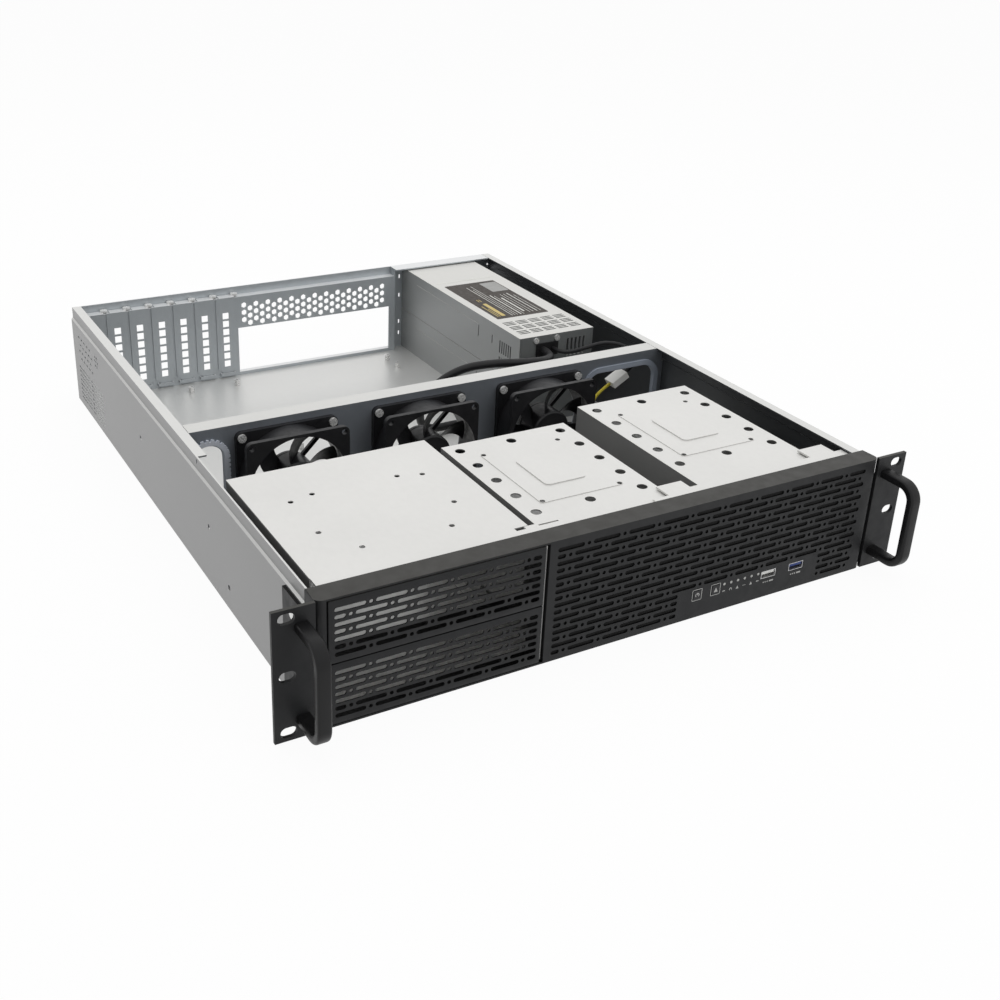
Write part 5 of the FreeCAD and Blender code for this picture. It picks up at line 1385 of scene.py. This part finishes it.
@dataclass
class Leads:
    """The loose leads and their connectors."""

    shop: Workshop
    leads: tuple = (
        Lead(
            "psu_loom",
            (
                (0.1368, 0.3165, 0.0717), (0.1368, 0.303, 0.0717), (0.124, 0.289, 0.074),
                (0.100, 0.285, 0.077), (0.072, 0.291, 0.079), (0.046, 0.301, 0.075),
                (0.026, 0.310, 0.060), (0.017, 0.318, 0.038), (0.022, 0.327, 0.018),
                (0.038, 0.334, 0.007), (0.058, 0.337, 0.0064), (0.075, 0.336, 0.0064),
            ),
            0.007, 0.242, "wire_black", "black_lead", "plug", ("power_plug",),
        ),
        Lead(
            "fan_power_lead",
            (
                (0.1473, 0.3165, 0.0717), (0.1473, 0.3065, 0.0717), (0.155, 0.299, 0.073),
                (0.168, 0.2945, 0.077), (0.183, 0.292, 0.080), (0.196, 0.285, 0.079),
                (0.2015, 0.273, 0.076), (0.199, 0.2635, 0.0728), (0.1917, 0.2588, 0.069),
                (0.183, 0.2588, 0.064),
            ),
            0.0036, 0.107, "wire_black", "black_lead", "connector", ("fan_plug",),
        ),
        Lead(
            "fan_lead",
            (
                (0.127, 0.2431, 0.012), (0.1335, 0.2431, 0.012), (0.140, 0.2419, 0.0155),
                (0.1445, 0.245, 0.026), (0.147, 0.2505, 0.036), (0.1505, 0.256, 0.045),
                (0.1586, 0.2588, 0.05005), (0.169, 0.2588, 0.056),
            ),
            0.0026, 0.070, "wire_yellow", "yellow_lead", "connector", ("fan_plug",),
        ),
        Lead(
            "front_panel_lead",
            (
                (0.162, 0.0235, 0.0141), (0.176, 0.0235, 0.0141), (0.189, 0.0255, 0.023),
                (0.200, 0.034, 0.040), (0.207, 0.052, 0.058), (0.209, 0.080, 0.067),
                (0.209, 0.110, 0.062), (0.208, 0.138, 0.048), (0.205, 0.165, 0.032),
                (0.200, 0.192, 0.017), (0.194, 0.219, 0.0075), (0.190, 0.246, 0.0058),
                (0.183, 0.274, 0.004), (0.168, 0.296, 0.0032), (0.146, 0.306, 0.0032),
                (0.124, 0.307, 0.0032),
            ),
            0.0036, 0.387, "wire_black", "black_lead", "plug", ("front_panel_plug",),
        ),
    )

    def build(self) -> None:
        """Lays every lead and dresses the connectors."""
        self.shop.dress_all((
            ("power_plug", "nylon_pale", 0.5), ("fan_plug", "nylon_pale", 0.5),
            ("front_panel_plug", "fan_black", 0.4),
        ))
        for lead in self.leads:
            lead.build(self.shop)


@dataclass
class Studio:
    """Pale floor, soft light and the camera at the photograph's angle."""

    azimuth: float = -30.06
    elevation: float = 24.83
    roll: float = 2.14
    focal_pixels: float = 1282.0
    principal: Span = (460.0, 440.0)
    position: tuple[float, float, float] = (-450.9, -559.9, 469.0)
    picture: float = 1000.0
    sensor: float = 36.0
    sky: Span = (0.22, 0.62)
    sky_height: float = 0.9
    glow_share: float = 0.95
    paper: float = 0.9
    floor_half: float = 12.0
    floor_drop: float = 0.0002

    def camera(self) -> None:
        """Sets the camera up."""
        a, e, r = (math.radians(v) for v in (self.azimuth, self.elevation, self.roll))
        back = Vector((math.sin(a) * math.cos(e), -math.cos(a) * math.cos(e), math.sin(e)))
        level = (-back).cross(Vector((0, 0, 1))).normalized()
        high = level.cross(-back)
        right = level * math.cos(r) + high * math.sin(r)
        up = high * math.cos(r) - level * math.sin(r)
        matrix = Matrix((right, up, back)).transposed().to_4x4()
        matrix.translation = at(*self.position)
        lens = bpy.data.cameras.new("camera")
        lens.sensor_width = self.sensor
        lens.lens = self.focal_pixels * self.sensor / self.picture
        lens.shift_x = (self.picture / 2 - self.principal[0]) / self.picture
        lens.shift_y = (self.principal[1] - self.picture / 2) / self.picture
        lens.clip_end = 50.0
        made = in_scene(bpy.data.objects.new("camera", lens))
        made.matrix_world = matrix
        bpy.context.scene.camera = made

    def lamp(self, name: str, place: Vector, target: Vector, size: float, power: float) -> None:
        """Adds one square soft lamp.

        Args:
            name: the lamp's name.
            place: where it hangs.
            target: where it points.
            size: its side in metres.
            power: its power in watts.
        """
        light = bpy.data.lights.new(name, "AREA")
        light.shape = "SQUARE"
        light.size = size
        light.energy = power
        made = in_scene(bpy.data.objects.new(name, light))
        made.visible_glossy = False
        made.location = place
        made.rotation_euler = (target - place).to_track_quat("-Z", "Y").to_euler()

    def background(self, tree: Tree) -> Socket:
        """A value that is 1 for rays that see the background itself.

        Args:
            tree: the node tree that it goes into.

        Returns:
            The value's socket.
        """
        path = tree.nodes.new("ShaderNodeLightPath")
        seen = path.outputs["Is Camera Ray"]
        for kind in ("Is Transmission Ray", "Is Glossy Ray"):
            either = tree.nodes.new("ShaderNodeMath")
            either.operation = "MAXIMUM"
            tree.links.new(seen, either.inputs[0])
            tree.links.new(path.outputs[kind], either.inputs[1])
            seen = either.outputs[0]
        return seen

    def mix(
        self, tree: Tree, share: Socket, lit: bpy.types.Node,
        white: bpy.types.Node, output: str,
    ) -> None:
        """Mixes two shaders into a tree's output.

        Args:
            tree: the node tree.
            share: socket with the second shader's share.
            lit: the first shader, which lights the object.
            white: the second shader, which is seen as background.
            output: name of the output node.
        """
        node = tree.nodes.new("ShaderNodeMixShader")
        for socket, source in zip(node.inputs, (share, lit.outputs[0], white.outputs[0])):
            tree.links.new(source, socket)
        tree.links.new(node.outputs[0], tree.nodes[output].inputs["Surface"])

    def world(self) -> None:
        """White behind the object, and a soft sky for its light that is brightest overhead."""
        world = bpy.data.worlds.new("studio")
        bpy.context.scene.world = world
        world.use_nodes = True
        tree = world.node_tree
        light = tree.nodes["Background"]
        white = tree.nodes.new("ShaderNodeBackground")
        white.inputs["Strength"].default_value = 1.0
        for node in (light, white):
            node.inputs["Color"].default_value = (1, 1, 1, 1)
        way = tree.nodes.new("ShaderNodeTexCoord")
        height = tree.nodes.new("ShaderNodeSeparateXYZ")
        tree.links.new(way.outputs["Generated"], height.inputs[0])
        strength = tree.nodes.new("ShaderNodeMapRange")
        for name, number in zip(
            ("From Min", "From Max", "To Min", "To Max"), (0.0, self.sky_height, *self.sky)
        ):
            strength.inputs[name].default_value = number
        tree.links.new(height.outputs[2], strength.inputs["Value"])
        tree.links.new(strength.outputs[0], light.inputs["Strength"])
        self.mix(tree, self.background(tree), light, white, "World Output")

    def floor(self) -> None:
        """A wide pale floor that keeps a faint shadow of the object."""
        shape = bmesh.new()
        h = self.floor_half
        corners = ((-h, -h), (h, -h), (h, h), (-h, h))
        shape.faces.new([shape.verts.new((x, y, -self.floor_drop)) for x, y in corners])
        made = as_object("floor", shape)
        material = bpy.data.materials.new("floor_paper")
        material.use_nodes = True
        tree = material.node_tree
        paper = tree.nodes["Principled BSDF"]
        paper.inputs["Base Color"].default_value = (self.paper, self.paper, self.paper, 1)
        paper.inputs["Roughness"].default_value = 0.9
        glow = tree.nodes.new("ShaderNodeEmission")
        glow.inputs["Strength"].default_value = 1.0
        half = tree.nodes.new("ShaderNodeMath")
        half.operation = "MULTIPLY"
        half.inputs[1].default_value = self.glow_share
        tree.links.new(self.background(tree), half.inputs[0])
        self.mix(tree, half.outputs[0], paper, glow, "Material Output")
        made.data.materials.append(material)

    def build(self) -> None:
        """Sets up camera, lamps, sky and floor."""
        self.camera()
        self.world()
        self.floor()
        middle = Vector((0, 0, 0.05))
        self.lamp("lamp_top", Vector((0.1, 0.3, 1.6)), middle, 1.8, 15.0)
        self.lamp("lamp_front", Vector((0.9, -1.5, 1.1)), middle, 1.2, 6.0)
        bpy.context.scene.view_settings.view_transform = "Standard"


def main() -> None:
    """Builds every group of pieces in order and logs each one."""
    logging.basicConfig(level=logging.INFO, format="%(name)s: %(message)s")
    shop = Workshop(Finishes())
    Studio().build()
    Leads(shop).build()
    SheetMetal(shop).build()
    FrontPanel(shop).build()
    for node in ("bay_cover_upper", "bay_cover_lower"):
        BayCover(shop, node).build()
    EarsAndHandles(shop).build()
    CableTrim(shop, "cable_trim_left", "trim_white", "pale_trim").build()
    CableTrim(shop, "cable_trim_right", "trim_grey", "grey_trim", toothed=False).build()
    Fans(shop).build()
    PowerSupply(shop).build()


if __name__ == "__main__":
    main()
